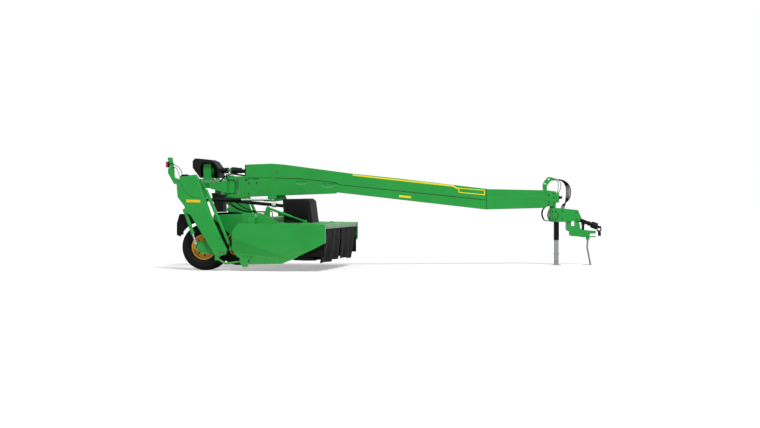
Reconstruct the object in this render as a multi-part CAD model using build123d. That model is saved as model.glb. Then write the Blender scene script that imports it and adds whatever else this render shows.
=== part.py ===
"""Centre-pivot disc mower conditioner, towed, parked on its jack.

Millimetres. +X is the way the machine travels, +Y its left side, +Z up.
It is modelled about the point on the ground under the tongue's pivot, and
moved at the end so that the middle of its bounding box's bottom is the origin.
Every right-hand piece (low Y) has a mirrored left-hand twin.
"""
from build123d import *
import os
from math import atan2, cos, degrees, pi, radians, sin

# Wheels: 380 mm wide tyres on 17 inch rims
TYRE_RADIUS = 425
TYRE_WIDTH = 380
TYRE_SHOULDER = 55
BEAD_INSET = 45
RIM_RADIUS = 216
RIM_FLANGE = 14
RIM_DISC = 12
HUB_RADIUS = 62
HUB_LENGTH = 120
SPINDLE_RADIUS = 30
TREAD_DEPTH = 12
TREAD_RIB = 46

# Running gaps
PIN_GAP = 0.3
SIDE_GAP = 5
SEAT_GAP = 0.3

# Carrier: two leg panels joined by a transverse beam with the pivot nose
HALF_WIDTH = 1500
LEG_THICKNESS = 100
WHEEL_X = -145
WHEEL_LEG_GAP = 80
WHEEL_Y = HALF_WIDTH - LEG_THICKNESS - WHEEL_LEG_GAP - TYRE_WIDTH / 2
LEG_PAD = 8
LEG_BEVEL = 12
LEG_OUTLINE = [
    (184, 261), (314, 300), (333, 379), (240, 558), (53, 954), (-59, 1260), (-134, 1458),
    (-209, 1693), (-246, 1738), (-528, 1706), (-603, 1567), (-584, 1332), (-472, 1187),
    (-359, 1025), (-115, 647), (100, 305), (128, 270),
]
LEG_ARC_CENTRE = (-190, 1640)
LEG_ARC_RADIUS = 320
BEAM_REAR = -520
BEAM_FRONT = -350
BEAM_BOTTOM = 1500
BEAM_TOP = 1660
BEAM_ROUND = 14
HAUNCH_WIDTH = 260
HAUNCH_DROP = 210
NOSE_REAR_WIDTH = 500
NOSE_REAR_BOTTOM = 1495
NOSE_REAR_TOP = 1605
NOSE_FRONT_X = -60
NOSE_FRONT_WIDTH = 190
NOSE_BOTTOM = 1407
NOSE_TOP = 1624
BOSS_RADIUS = 95
PIVOT_PIN_RADIUS = 40

# Wheel arms and their lift cylinders, right-hand side, (X, Z)
ARM_PIVOT = (220, 342)
ARM_PIN_RADIUS = 30
ARM_BOSS_RADIUS = 62
ARM_THICKNESS = 35
ARM_HUB_RADIUS = 105
ARM_LUG_RADIUS = 38
LIFT_TOP = (-450, 1080)
LIFT_EYE = (-246, 502)
LIFT_BARREL_RADIUS = 32
LIFT_ROD_RADIUS = 18
LIFT_BARREL_LENGTH = 440
LIFT_EYE_RADIUS = 28
LIFT_EYE_WIDTH = 64
LIFT_PIN_RADIUS = 14
LIFT_PLANE = HALF_WIDTH - LEG_THICKNESS / 2
LUG_THICKNESS = 12

# Tongue, straight along +X before it is swung, (distance from pivot, Z)
TONGUE_SWING = 20
TONGUE_WIDTH = 220
TONGUE_BEVEL = 9
TONGUE_OUTLINE = [
    (252, 1331), (1991, 1398), (2020, 1420), (4922, 1090), (6076, 1117), (6156, 1156),
    (6297, 1175), (6297, 1428), (6076, 1463), (4922, 1485), (4922, 1273), (2039, 1569),
    (1981, 1607), (1293, 1681), (800, 1690), (252, 1630),
]
TONGUE_END = 6297
END_CHEEK = [(6107, 1142), (6107, 1466), (6308, 1438), (6308, 1170)]
END_CHEEK_SHEET = 8
END_FLANGE_X = (6296, 6372)
END_FLANGE_Z = (1222, 1420)
END_FLANGE_HALF = 76
STUB_END = 6458
TONGUE_SEAM = 4922
CHANNEL_WALL = 8
CHANNEL_OUTLINE = [
    (271, 1690), (800, 1690), (1293, 1681), (1981, 1607), (2039, 1569), (4922, 1273),
    (4922, 1490), (3217, 1685), (2289, 1778), (1293, 1908), (1008, 1945), (762, 1964), (271, 1943),
]
FRONT_CREASE = [(4922, 1321), (6076, 1360), (6297, 1368)]
FRONT_STEP = 6
POCKETS = [
    # rear, front, low, high
    (1210, 1430, 1570, 1632),
    (1705, 1960, 1515, 1590),
]
POCKET_DEPTH = 14
FORK_RADIUS = 100
FORK_TOP = (1662, 1722)
FORK_BOTTOM = (1327, 1376)
FORK_WEB = (139, 252)
FORK_TOP_END = 520
PIN_CAP_TOP = 1737
UPPER_SHAFT_RADIUS = 38
UPPER_SHAFT_START = (110, 1832)
UPPER_SHAFT_END = (4900, 1412)
YOKE_EYE_RADIUS = 24
YOKE_EAR = (32, 44)
YOKE_WEB = (60, 76)
YOKE_HUB_RADIUS = 30
CROSS_RADIUS = 12
CROSS_HALF = 47

# Swing cylinder between the beam and the tongue, axis height and pins
SWING_Z = 1279
SWING_PIN = (-300, -550)
SWING_EYE = (780, -160)
SWING_BARREL_RADIUS = 34
SWING_ROD_RADIUS = 20
SWING_BARREL_LENGTH = 640
SWING_ROD_LENGTH = 760
SWING_EYE_RADIUS = 32
SWING_EYE_WIDTH = 34
SWING_LUG = 12
SWING_LUG_HALF = 36
SWING_NECK = 56
SWING_LUG_GAP = 42
SWING_PIN_RADIUS = 15
BARREL_END = 40

# Driveline
GEARBOX_X = (-510, -362)
GEARBOX_HALF = 105
GEARBOX_TOP = 1956
GUARD_OUTLINE = [
    (-549, 1691), (-697, 1881), (-697, 2014), (-647, 2061), (-352, 2031), (-274, 1993),
    (-176, 1861), (-176, 1690),
]
GUARD_WINDOW = [(-530, 1640), (-545, 1900), (-500, 1985), (-300, 1965), (-215, 1850), (-215, 1640)]
GUARD_HALF = 185
GUARD_WALL = 12
LOWER_GUARD_OUTLINE = [(-352, 1407), (-294, 1180), (-235, 1047), (-117, 1048), (-117, 1369)]
LOWER_GUARD_HALF = 130
LOWER_BOX_X = (-290, -170)
LOWER_BOX_HALF = 80
LOWER_SHAFT_RADIUS = 32
LOWER_SHAFT_START = (-117, 1274)
LOWER_SHAFT_END = (1150, 1152)
COLLAR_RADIUS = 43
COLLAR_AT = (800, 880)

# Header
SHIELD_THICKNESS = 60
SIDE_INNER = HALF_WIDTH - SHIELD_THICKNESS
SHIELD_OUTLINE = [
    (570, 857), (2148, 846), (2148, 516), (1966, 417), (1692, 291), (1601, 237), (1344, 137),
    (736, 123), (681, 230), (533, 247), (440, 363), (431, 417), (431, 614), (440, 704), (533, 840),
]
SHIELD_CREASE = [(440, 590), (1560, 216)]
SHIELD_FOLD = (628, 322)
SHIELD_FOLD_DEPTH = 44
CORNER_SHOE = [(576, 250), (600, 262), (700, 262), (692, 236), (742, 112), (720, 78), (634, 74), (604, 128)]
FLAP_SHEET = 5
FLAP_OUTLINE = [(1640, 264), (1640, 370), (1720, 420), (2030, 590), (2124, 590), (2124, 264)]
STAY_Y = 305
STAY_HALF = 18
STAY_POST = [(725, 950), (835, 950), (842, 1120), (818, 1156), (782, 1156), (758, 1120)]
STAY_TOP = (808, 1122)
STAY_JOIN = (1240, 970)
STAY_FOOT = (1505, 880)
STAY_RADIUS = 24
DECK_TOP = 848
DECK_SHEET = 10
DECK_FRONT = 1655
DECK_REAR = 560
REAR_WALL_X = 440
REAR_WALL_BOTTOM = 380
HOOD_TYRE_GAP = 35
HOOD_HALF = WHEEL_Y - TYRE_WIDTH / 2 - HOOD_TYRE_GAP
HOOD_SHEET = 8
HOOD_REAR = (-80, 1000)
HOOD_CREST = (470, 1003)
HOOD_FOOT = (700, DECK_TOP - DECK_SHEET)
HOOD_SIDE = [
    HOOD_REAR, (-80, 935), (330, 560), (700, 330), (1300, 250), (1330, HOOD_FOOT[1]), HOOD_FOOT, HOOD_CREST,
]
HOOD_RIBS = (-620, -210, 210, 620)
RIB_HALF = 16
RIB_RISE = 6
DECK_RIBS = (480, 760, 1040)
DECK_RIB_X = (900, 1590)
COVER_RIBS = (320, 560, 880, 1110)
CROSS_TUBE_X = (720, 840)
CROSS_TUBE_TOP = 962
BRACKET_INSET = 140
BRACKET_Y = SIDE_INNER - BRACKET_INSET
BRACKET_PLATE = 16
BRACKET_OUTLINE = [(588, 848), (588, 1045), (921, 1046), (1234, 886), (1234, 848)]
BRACKET_HOLE = (829, 1000, 22)
BELL_OUTLINE = [(1104, 790), (1068, 1294), (1530, 1303), (1587, 1256), (1653, 790)]
BELL_HALF = 280
BELL_WALL = 8
HEADER_BOX_X = (1150, 1440)
HEADER_BOX_HALF = 120
HEADER_BOX_TOP = 1215

# Cutterbar and discs
DISC_PITCH = 390
DISC_END_INSET = 270
DISC_COUNT = 1 + int(2 * (SIDE_INNER - DISC_END_INSET) / DISC_PITCH + 0.001)
DISC_X = 1770
BAR_OUTLINE = [(1530, 214), (1580, 200), (1860, 200), (1940, 230), (1915, 244), (1720, 260), (1530, 252)]
BAR_TOP = 260
BAR_BOTTOM = 200
BAR_HANGER = [(1380, 420), (1580, 420), (1580, 222), (1532, 218), (1380, 330)]
SHOE_RADIUS = 150
SHOE_THICKNESS = 10
DISC_RADIUS = 188
DISC_HEIGHT = 26
DISC_GAP = 6
HUB_CAP_RADIUS = 92
HUB_CAP_HEIGHT = 42
DRUM_RADIUS = 150
DRUM_HEIGHT = 190
KNIFE_REACH = 252
KNIFE_WIDTH = 44
KNIFE_THICKNESS = 5
KNIFE_START = 130
DISC_STUD_RADIUS = 28

# Conditioner rotor
ROTOR_X = 1050
ROTOR_Z = 500
ROTOR_END_GAP = 55
ROTOR_HALF = HOOD_HALF - ROTOR_END_GAP
ROTOR_RADIUS = 105
TINE_REACH = 248
TINE_ROWS = 4
TINES_PER_ROW = 13
TINE_WIDTH = 26
TINE_THICKNESS = 22
ROTOR_STUB_RADIUS = 34

# Front covers and curtains
COVER_HINGE = (1675, 846)
COVER_ROD_RADIUS = 8
COVER_EYE_RADIUS = 16
COVER_SHEET = 8
COVER_REAR = 1697
COVER_FRONT = 2148
COVER_LIP_BOTTOM = 765
CURTAIN_SHEET = 8
CURTAIN_BOTTOM = 160
COVER_EYES = (180, 720, 1250)
COVER_EYE_WIDTH = 60

# Hoses from the bracket on the tongue's end to the hitch, (distance from pivot, Z)
BRACKET_POST = [
    (6078, 1450), (6066, 1556), (6100, 1640), (6176, 1722), (6240, 1716), (6330, 1690),
    (6330, 1655), (6240, 1648), (6160, 1560), (6150, 1445),
]
BRACKET_POST_HALF = 8
BRACKET_POST_HOLES = [(6190, 1676, 17), (6118, 1590, 15)]
HOSE_CLAMP_X = (6288, 6334)
HOSE_CLAMP_Z = 1672
HOSE_SPREAD = 24
HOSE_RADIUS = 9
HOSE_BOW = (6590, 1412)
HOSE_END_X = 6430
HOSE_END_GAP = 11

# Hitch, along the tongue, (distance from pivot, Z)
HITCH_PIVOT = 6270
HITCH_TOP = 1116
HITCH_BOTTOM = 843
HITCH_SLOPE = [(6380, HITCH_TOP), (6763, 1078)]
HITCH_HOUSING = [
    (6236, HITCH_BOTTOM), (6194, 872), (6178, 930), (6178, 1046), (6226, HITCH_TOP), *HITCH_SLOPE,
    (6824, 939), (6800, 862), (6490, HITCH_BOTTOM),
]
HITCH_HALF = 88
HITCH_ROUND = 92
COVER_CENTRE = (6276, 976)
COVER_RADIUS = 97
COVER_DEPTH = 12
COVER_BOLTS = 8
HITCH_BOSS_RADIUS = 62
HITCH_PIN_RADIUS = 32
DRAWBAR_OUTLINE = [
    (6545, 860), (6545, 692), (6575, 668), (6612, 652), (6616, 584), (6644, 566), (6750, 560),
    (6885, 541), (7078, 541), (7078, 672), (6860, 690), (6815, 716), (6804, 800), (6778, 860),
]
DRAWBAR_WINDOW = (6632, 6722, 765, 900)
DRAWBAR_HALF = 60
DRAWBAR_EYE = 7078
DRAWBAR_EYE_RADIUS = 16.5
EYE_LEVELS = (541, 672)
EYE_SLOT = (564, 614)
EYE_SLOT_DEPTH = 70
EYE_BOSS_RADIUS = 62
PTO_START = (6798, 890)
PTO_JOINT = (7205, 738)
PTO_RADIUS = 38
PTO_TUBE_GAP = 130
PTO_BELL = (142, 50)
PTO_BELL_RADIUS = 62
PTO_BELL_WALL = 4
PTO_YOKE_TILT = 96
PTO_YOKE_LENGTH = 172
PTO_BORE_RADIUS = 17.5
PTO_BORE_LENGTH = 70
PTO_REST_X = (6862, 6906)
JACK_X = 6345
JACK_OUTER = 86
JACK_WALL = 5
JACK_BOTTOM = 491
JACK_INNER = 75.2
JACK_INNER_TOP = 575
JACK_TRAVEL = 250
JACK_FOOT = (162, 150, 10)
STAND_PIVOT = (6980, 512)
STAND_KNEE = (6970, 337)
STAND_END_X = 7036
STAND_FOOT_X = 6980
STAND_RADIUS = 13
STAND_LUG_FACE = 40
STAND_PIN_RADIUS = 10
STAND_FOOT = (163, 140, 8)

# Tail lamps on their brackets
LAMP_BRACKET = [
    (-560, 1567), (-560, 1650), (-642, 1690), (-650, 1839), (-688, 2047), (-782, 2047),
    (-773, 2002), (-726, 1884), (-773, 1839), (-773, 1766), (-660, 1567),
]
LAMP_BRACKET_SHEET = 8
LAMP_Z = (1868, 1972)
LAMP_WIDTH = 96
LAMP_REAR = -802
LAMP_DEPTH = 50

# Mudguards
MUDGUARD_REAR = WHEEL_X - TYRE_RADIUS - 70
MUDGUARD_TOP = 2 * TYRE_RADIUS + 185
MUDGUARD_OUTLINE = [
    (MUDGUARD_REAR, TYRE_RADIUS + 215), (MUDGUARD_REAR, 2 * TYRE_RADIUS), (MUDGUARD_REAR + 48, MUDGUARD_TOP - 13),
    (WHEEL_X - 105, MUDGUARD_TOP), (WHEEL_X + 85, MUDGUARD_TOP - 75),
]
MUDGUARD_SHEET = 6
MUDGUARD_CLEARANCE = 36
MUDGUARD_SIDE_GAP = 14
MUDGUARD_STAYS = [(WHEEL_X - 115, MUDGUARD_TOP - 45), (WHEEL_X + 35, MUDGUARD_TOP - 80)]

# Float struts and lower links
STRUT_Y = HALF_WIDTH - LEG_THICKNESS - 25
STRUT_TOP = (-180, 1640)
STRUT_JOIN = (-80, 1458)
STRUT_BOTTOM = (388, 395)
STRUT_RADIUS = 30
STRUT_ROD_RADIUS = 11
STRUT_NECK = 100
LINK_Y = LIFT_PLANE
LINK_PATH = [(150, 225), (300, 135), (610, 175)]
LINK_RADIUS = 18
LINK_EYE_RADIUS = 30
LINK_EYE_WIDTH = 40
LINK_PIN_RADIUS = 11


# Helpers

def side_plate(points, low_y, high_y, radius=0):
    """Solid between two Y planes with its outline given as (X, Z) points."""
    outline = Polygon(*points, align=None)
    if radius:
        outline = fillet(outline.vertices(), radius)
    return extrude(Plane.XZ.offset(-high_y) * outline, high_y - low_y, dir=(0, -1, 0))


def block(x_range, y_range, z_range):
    """Box between two X, two Y and two Z values."""
    size = [high - low for low, high in (x_range, y_range, z_range)]
    middle = [(high + low) / 2 for low, high in (x_range, y_range, z_range)]
    return Pos(*middle) * Box(*size)


def rod(start, end, radius, bore=0):
    """Round bar between two points, hollow if it has a bore radius."""
    direction = Vector(*end) - Vector(*start)
    place = Plane(origin=start, z_dir=direction)
    middle_to_end = (Align.CENTER, Align.CENTER, Align.MIN)
    body = place * Cylinder(radius, direction.length, align=middle_to_end)
    if bore:
        body -= place * Cylinder(bore, direction.length, align=middle_to_end)
    return body


def cross_rod(x, z, low_y, high_y, radius, bore=0):
    """Round bar along Y."""
    return rod((x, low_y, z), (x, high_y, z), radius, bore)


def upright(x, y, low_z, high_z, radius, bore=0):
    """Round bar along Z."""
    return rod((x, y, low_z), (x, y, high_z), radius, bore)


def twin(solid):
    """Right-hand and left-hand copies of one solid."""
    return [solid, mirror(solid, about=Plane.XZ)]


def left_of(solid):
    return mirror(solid, about=Plane.XZ)


def on_tongue(solid):
    """Swing a piece that was drawn on the straight tongue."""
    return Rot(0, 0, TONGUE_SWING) * solid


def bevel_sides(solid, size):
    """Chamfer the outline edges of both Y faces."""
    faces = solid.faces().sort_by(Axis.Y)
    return chamfer(faces[0].edges() + faces[-1].edges(), size)


# Carrier

def leg_right():
    """Leg panel with its raised arc pad, arm pin, and lugs for cylinder and link."""
    inner = HALF_WIDTH - LEG_THICKNESS
    panel = side_plate(LEG_OUTLINE, -HALF_WIDTH + LEG_PAD, -inner)
    outer_edges = panel.faces().sort_by(Axis.Y)[0].edges()
    panel = chamfer(outer_edges, LEG_BEVEL)
    pad = side_plate(LEG_OUTLINE, -HALF_WIDTH, -HALF_WIDTH + LEG_PAD)
    pad &= cross_rod(*LEG_ARC_CENTRE, -HALF_WIDTH, -inner, LEG_ARC_RADIUS)
    shrink = side_plate([(x + LEG_BEVEL, z - LEG_BEVEL) for x, z in LEG_OUTLINE], -HALF_WIDTH, -inner)
    pad &= shrink
    shrink = side_plate([(x - LEG_BEVEL, z - LEG_BEVEL) for x, z in LEG_OUTLINE], -HALF_WIDTH, -inner)
    pad &= shrink
    leg = panel + pad
    pin_end = HALF_WIDTH - LEG_THICKNESS - SIDE_GAP - ARM_THICKNESS - 2 * SIDE_GAP
    leg += cross_rod(*ARM_PIVOT, -inner, -pin_end, ARM_PIN_RADIUS)
    leg += cross_rod(*ARM_PIVOT, -arm_faces()[0] + SEAT_GAP, -pin_end + SIDE_GAP, ARM_PIN_RADIUS + 12)
    for side in (-1, 1):
        middle = LIFT_PLANE + side * (LIFT_EYE_WIDTH / 2 + SIDE_GAP / 2 + LUG_THICKNESS / 2)
        lug = side_plate(
            [(-480, 1110), (-300, 1180), (-300, 990), (-430, 1050), (-480, 1050)],
            -middle - LUG_THICKNESS / 2, -middle + LUG_THICKNESS / 2,
        )
        leg += lug
    pin_half = LIFT_EYE_WIDTH / 2 + SIDE_GAP / 2 + LUG_THICKNESS
    leg += cross_rod(*LIFT_TOP, -LIFT_PLANE - pin_half, -LIFT_PLANE + pin_half, LIFT_PIN_RADIUS)
    start = LINK_PATH[0]
    for side in (-1, 1):
        middle = LINK_Y + side * (LINK_EYE_WIDTH / 2 + LUG_THICKNESS / 2 + 1)
        lug = side_plate(
            [(start[0] - 34, start[1] - 30), (start[0] + 34, start[1] - 30), (start[0] + 60, 330),
             (start[0] - 40, 330)],
            -middle - LUG_THICKNESS / 2, -middle + LUG_THICKNESS / 2,
        )
        leg += lug
    leg += cross_rod(*start, -LINK_Y - LINK_EYE_WIDTH, -LINK_Y + LINK_EYE_WIDTH, LINK_PIN_RADIUS)
    return leg


def main_beam():
    """Transverse box beam with haunches, nose and the tongue's pivot boss."""
    inner = HALF_WIDTH - LEG_THICKNESS
    beam = block((BEAM_REAR, BEAM_FRONT), (-inner, inner), (BEAM_BOTTOM, BEAM_TOP))
    beam = fillet(beam.edges().filter_by(Axis.Y), BEAM_ROUND)
    haunch_face = Plane.YZ.offset(BEAM_REAR + BEAM_ROUND) * Polygon(
        (-inner, BEAM_BOTTOM), (-inner, BEAM_BOTTOM - HAUNCH_DROP), (-inner + HAUNCH_WIDTH, BEAM_BOTTOM),
        align=None,
    )
    haunch = extrude(haunch_face, BEAM_FRONT - BEAM_REAR - 2 * BEAM_ROUND)
    for side in twin(haunch):
        beam += side
    rear = Plane(origin=(BEAM_FRONT - 5, 0, (NOSE_REAR_BOTTOM + NOSE_REAR_TOP) / 2), x_dir=(0, 1, 0), z_dir=(1, 0, 0))
    front = Plane(origin=(NOSE_FRONT_X, 0, (NOSE_BOTTOM + NOSE_TOP) / 2), x_dir=(0, 1, 0), z_dir=(1, 0, 0))
    nose = loft([
        rear * Rectangle(NOSE_REAR_WIDTH, NOSE_REAR_TOP - NOSE_REAR_BOTTOM),
        front * Rectangle(NOSE_FRONT_WIDTH, NOSE_TOP - NOSE_BOTTOM),
    ])
    boss_half = block((NOSE_FRONT_X - 1, 0), (-NOSE_FRONT_WIDTH / 2, NOSE_FRONT_WIDTH / 2), (NOSE_BOTTOM, NOSE_TOP))
    boss = upright(0, 0, NOSE_BOTTOM, NOSE_TOP, BOSS_RADIUS)
    hub = upright(0, 0, FORK_BOTTOM[1] + SEAT_GAP, FORK_TOP[0] - SEAT_GAP, BOSS_RADIUS - 22)
    beam += nose + boss_half + boss + hub
    beam -= upright(0, 0, FORK_BOTTOM[0], FORK_TOP[1], PIVOT_PIN_RADIUS + PIN_GAP)
    pin = Vector(*SWING_PIN)
    across = (pin.Y - SWING_LUG_HALF, pin.Y + SWING_LUG_HALF)
    (low_lug, _), (_, top_lug) = swing_lug_levels()
    for levels in swing_lug_levels():
        beam += block((BEAM_FRONT - 40, pin.X), across, levels) + upright(pin.X, pin.Y, *levels, SWING_LUG_HALF)
    beam += block((BEAM_FRONT - 40, pin.X - SWING_LUG_HALF - SIDE_GAP), across, (low_lug, BEAM_BOTTOM + 1))
    beam += side_plate(
        [(BEAM_FRONT - 40, top_lug - 1), (pin.X, top_lug - 1), (BEAM_FRONT - 20, BEAM_BOTTOM + 1),
         (BEAM_FRONT - 40, BEAM_BOTTOM + 1)], pin.Y - LUG_THICKNESS / 2, pin.Y + LUG_THICKNESS / 2)
    beam += upright(pin.X, pin.Y, low_lug - 8, top_lug, SWING_PIN_RADIUS)
    return beam


def swing_lug_levels():
    """Heights of the two lug plates that hold a swing cylinder eye."""
    low = SWING_Z - SWING_LUG_GAP / 2
    high = SWING_Z + SWING_LUG_GAP / 2
    return [(low - SWING_LUG, low), (high, high + SWING_LUG)]


def lamp_bracket():
    plane = HALF_WIDTH - LEG_THICKNESS / 2
    return side_plate(LAMP_BRACKET, -plane - LAMP_BRACKET_SHEET / 2, -plane + LAMP_BRACKET_SHEET / 2)


def tail_lamp():
    """Lamp box on the rear edge of its bracket, with a domed lens face."""
    plane = HALF_WIDTH - LEG_THICKNESS / 2
    lamp = block((LAMP_REAR, LAMP_REAR + LAMP_DEPTH), (-plane - LAMP_WIDTH / 2, -plane + LAMP_WIDTH / 2), LAMP_Z)
    lamp = fillet(lamp.faces().sort_by(Axis.X)[0].edges(), 10)
    return lamp - lamp_bracket()


# Wheels and arms

def tyre():
    """Tyre round the Y axis at the origin, with circumferential tread grooves."""
    half = TYRE_WIDTH / 2
    bead = half - BEAD_INSET
    with BuildSketch(Plane.XY) as section:
        with BuildLine():
            Polyline(
                (RIM_RADIUS, -bead), (RIM_RADIUS + RIM_FLANGE + 2, -bead),
                (RIM_RADIUS + 36, -half + 18), (TYRE_RADIUS - 120, -half),
                (TYRE_RADIUS - TYRE_SHOULDER, -half + 8), (TYRE_RADIUS - 12, -half + TYRE_SHOULDER),
                (TYRE_RADIUS, -half + TYRE_SHOULDER + 60), (TYRE_RADIUS, half - TYRE_SHOULDER - 60),
                (TYRE_RADIUS - 12, half - TYRE_SHOULDER), (TYRE_RADIUS - TYRE_SHOULDER, half - 8),
                (TYRE_RADIUS - 120, half), (RIM_RADIUS + 36, half - 18),
                (RIM_RADIUS + RIM_FLANGE + 2, bead), (RIM_RADIUS, bead), close=True,
            )
        make_face()
    body = revolve(section.sketch, Axis.Y)
    for offset in (-1.5, -0.5, 0.5, 1.5):
        groove = cross_rod(0, 0, offset * TREAD_RIB - 5, offset * TREAD_RIB + 5, TYRE_RADIUS + 5, TYRE_RADIUS - TREAD_DEPTH)
        body -= groove
    return body


def rim():
    """Rim with rolled flanges, dished disc with hand holes, hub and wheel bolts."""
    half = TYRE_WIDTH / 2 - BEAD_INSET
    barrel = cross_rod(0, 0, -half, half, RIM_RADIUS, RIM_RADIUS - 9)
    for side in (-1, 1):
        barrel += cross_rod(0, 0, side * (half + 6) - 6, side * (half + 6) + 6, RIM_RADIUS + RIM_FLANGE, RIM_RADIUS - 9)
    disc_y = -95
    disc = cross_rod(0, 0, disc_y - RIM_DISC / 2, disc_y + RIM_DISC / 2, RIM_RADIUS - 5)
    for step in range(8):
        angle = radians(45 * step)
        disc -= cross_rod(150 * cos(angle), 150 * sin(angle), disc_y - RIM_DISC, disc_y + RIM_DISC, 20)
    hub = cross_rod(0, 0, -HUB_LENGTH / 2 - 90, HUB_LENGTH / 2 - 90, HUB_RADIUS)
    flange = cross_rod(0, 0, disc_y - RIM_DISC / 2 - 14, disc_y, 98)
    wheel = barrel + disc + hub + flange
    for step in range(6):
        angle = radians(60 * step)
        wheel += cross_rod(80 * cos(angle), 80 * sin(angle), disc_y - RIM_DISC / 2 - 28, disc_y, 11)
    return wheel - cross_rod(0, 0, -HUB_LENGTH / 2 - 91, HUB_LENGTH / 2 - 110, SPINDLE_RADIUS + PIN_GAP)


def at_wheel(solid, side):
    """Put a wheel piece at its place; side is -1 on the right and 1 on the left."""
    if side > 0:
        solid = mirror(solid, about=Plane.XZ)
    return Pos(WHEEL_X, side * WHEEL_Y, TYRE_RADIUS) * solid


def arm_faces():
    """Inner and outer distance of the arm plate from the centre line."""
    outer = HALF_WIDTH - LEG_THICKNESS - SIDE_GAP - 5
    return outer - ARM_THICKNESS, outer


def wheel_arm():
    """Arm plate round pivot, wheel hub and cylinder lug, with the wheel spindle."""
    inner, outer = arm_faces()
    wheel = (WHEEL_X, TYRE_RADIUS)
    plate = hull_plate([(ARM_PIVOT, ARM_BOSS_RADIUS), (wheel, ARM_HUB_RADIUS)], -outer, -inner)
    plate += hull_plate([(LIFT_EYE, ARM_LUG_RADIUS), (wheel, ARM_HUB_RADIUS - 20)], -outer, -inner)
    plate += cross_rod(*wheel, -outer - 10, -inner, 70)
    for step in range(3):
        angle = radians(200 + 70 * step)
        plate += cross_rod(
            wheel[0] + 50 * cos(angle), wheel[1] + 50 * sin(angle), -outer - 22, -outer, 13)
    plate += cross_rod(*LIFT_EYE, -outer - 4, -inner, 24)
    plate += cross_rod(*wheel, -inner, -WHEEL_Y - HUB_LENGTH / 2 + 8, SPINDLE_RADIUS)
    return plate - cross_rod(*ARM_PIVOT, -outer - 30, -inner + 30, ARM_PIN_RADIUS + PIN_GAP)


def hull_plate(circles, low_y, high_y):
    """Plate whose outline is the tight band round a few circles, given as ((X, Z), radius)."""
    outline = Sketch() + [Pos(*centre) * Circle(radius) for centre, radius in circles]
    band = make_hull(outline.edges())
    return extrude(Plane.XZ.offset(-high_y) * band, high_y - low_y, dir=(0, -1, 0))


def lift_barrel():
    """Barrel of the right-hand lift cylinder, from its top eye down."""
    top = Vector(LIFT_TOP[0], -LIFT_PLANE, LIFT_TOP[1])
    low = Vector(LIFT_EYE[0], -LIFT_PLANE, LIFT_EYE[1])
    along = (low - top).normalized()
    start = top + along * (LIFT_EYE_RADIUS - 4)
    end = top + along * LIFT_BARREL_LENGTH
    body = rod(start, end, LIFT_BARREL_RADIUS)
    gland = top + along * (LIFT_BARREL_LENGTH - 34)
    body += rod(gland, end, LIFT_BARREL_RADIUS + 4)
    floor = top + along * (LIFT_EYE_RADIUS + 22)
    beyond = top + along * (LIFT_BARREL_LENGTH + 1)
    body -= rod(floor, beyond, LIFT_ROD_RADIUS + PIN_GAP)
    half = LIFT_EYE_WIDTH / 2
    body += cross_rod(*LIFT_TOP, -LIFT_PLANE - half, -LIFT_PLANE + half, LIFT_EYE_RADIUS)
    return body - cross_rod(*LIFT_TOP, -LIFT_PLANE - half - 9, -LIFT_PLANE + half + 9, LIFT_PIN_RADIUS + PIN_GAP)


def lift_rod():
    """Chromed rod of the right-hand lift cylinder with its lower eye."""
    top = Vector(LIFT_TOP[0], -LIFT_PLANE, LIFT_TOP[1])
    low = Vector(LIFT_EYE[0], -LIFT_PLANE, LIFT_EYE[1])
    along = (low - top).normalized()
    start = top + along * (LIFT_EYE_RADIUS + 30)
    body = rod(start, low, LIFT_ROD_RADIUS)
    inner, outer = arm_faces()
    eye_low = -LIFT_PLANE - LIFT_EYE_WIDTH / 2
    eye_high = -outer - 4 - SIDE_GAP
    return body + cross_rod(*LIFT_EYE, eye_low, eye_high, LIFT_EYE_RADIUS)


def mudguard():
    """Folded rear mudguard over the wheel with an outer skirt."""
    inner_y = WHEEL_Y - TYRE_WIDTH / 2
    outer_y = WHEEL_Y + TYRE_WIDTH / 2 + MUDGUARD_SIDE_GAP
    line = FilletPolyline(*[(x, z) for x, z in MUDGUARD_OUTLINE], radius=40)
    strip = trace(line, MUDGUARD_SHEET)
    width = outer_y + MUDGUARD_SHEET - inner_y
    sheet = extrude(Plane.XZ.offset(inner_y) * strip, width, dir=(0, -1, 0))
    skirt_line = MUDGUARD_OUTLINE + [(WHEEL_X, TYRE_RADIUS)]
    skirt = side_plate(skirt_line, -outer_y - MUDGUARD_SHEET, -outer_y)
    skirt -= cross_rod(WHEEL_X, TYRE_RADIUS, -outer_y - 20, -outer_y + 20, TYRE_RADIUS + MUDGUARD_CLEARANCE)
    guard = sheet + skirt
    for x, z in MUDGUARD_STAYS:
        guard += cross_rod(x, z, -HALF_WIDTH + LEG_THICKNESS, -outer_y - 1, 12)
    return guard


# Tongue

def tongue_fork():
    """Fork that grips the nose, with its pivot pin, web and cover plate."""
    half = TONGUE_WIDTH / 2 - CHANNEL_WALL - 2
    plates = None
    for (low, high), end in ((FORK_TOP, FORK_TOP_END), (FORK_BOTTOM, FORK_WEB[1])):
        plate = upright(0, 0, low, high, FORK_RADIUS) + block((0, end), (-half, half), (low, high))
        plates = plate if plates is None else plates + plate
    web = block(FORK_WEB, (-half, half), (FORK_BOTTOM[1] - 1, FORK_TOP[0] + 1))
    pin = upright(0, 0, FORK_BOTTOM[0], FORK_TOP[1], PIVOT_PIN_RADIUS)
    cap = upright(0, 0, FORK_TOP[1] - 1, PIN_CAP_TOP, 62)
    return plates + web + pin + cap


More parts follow.
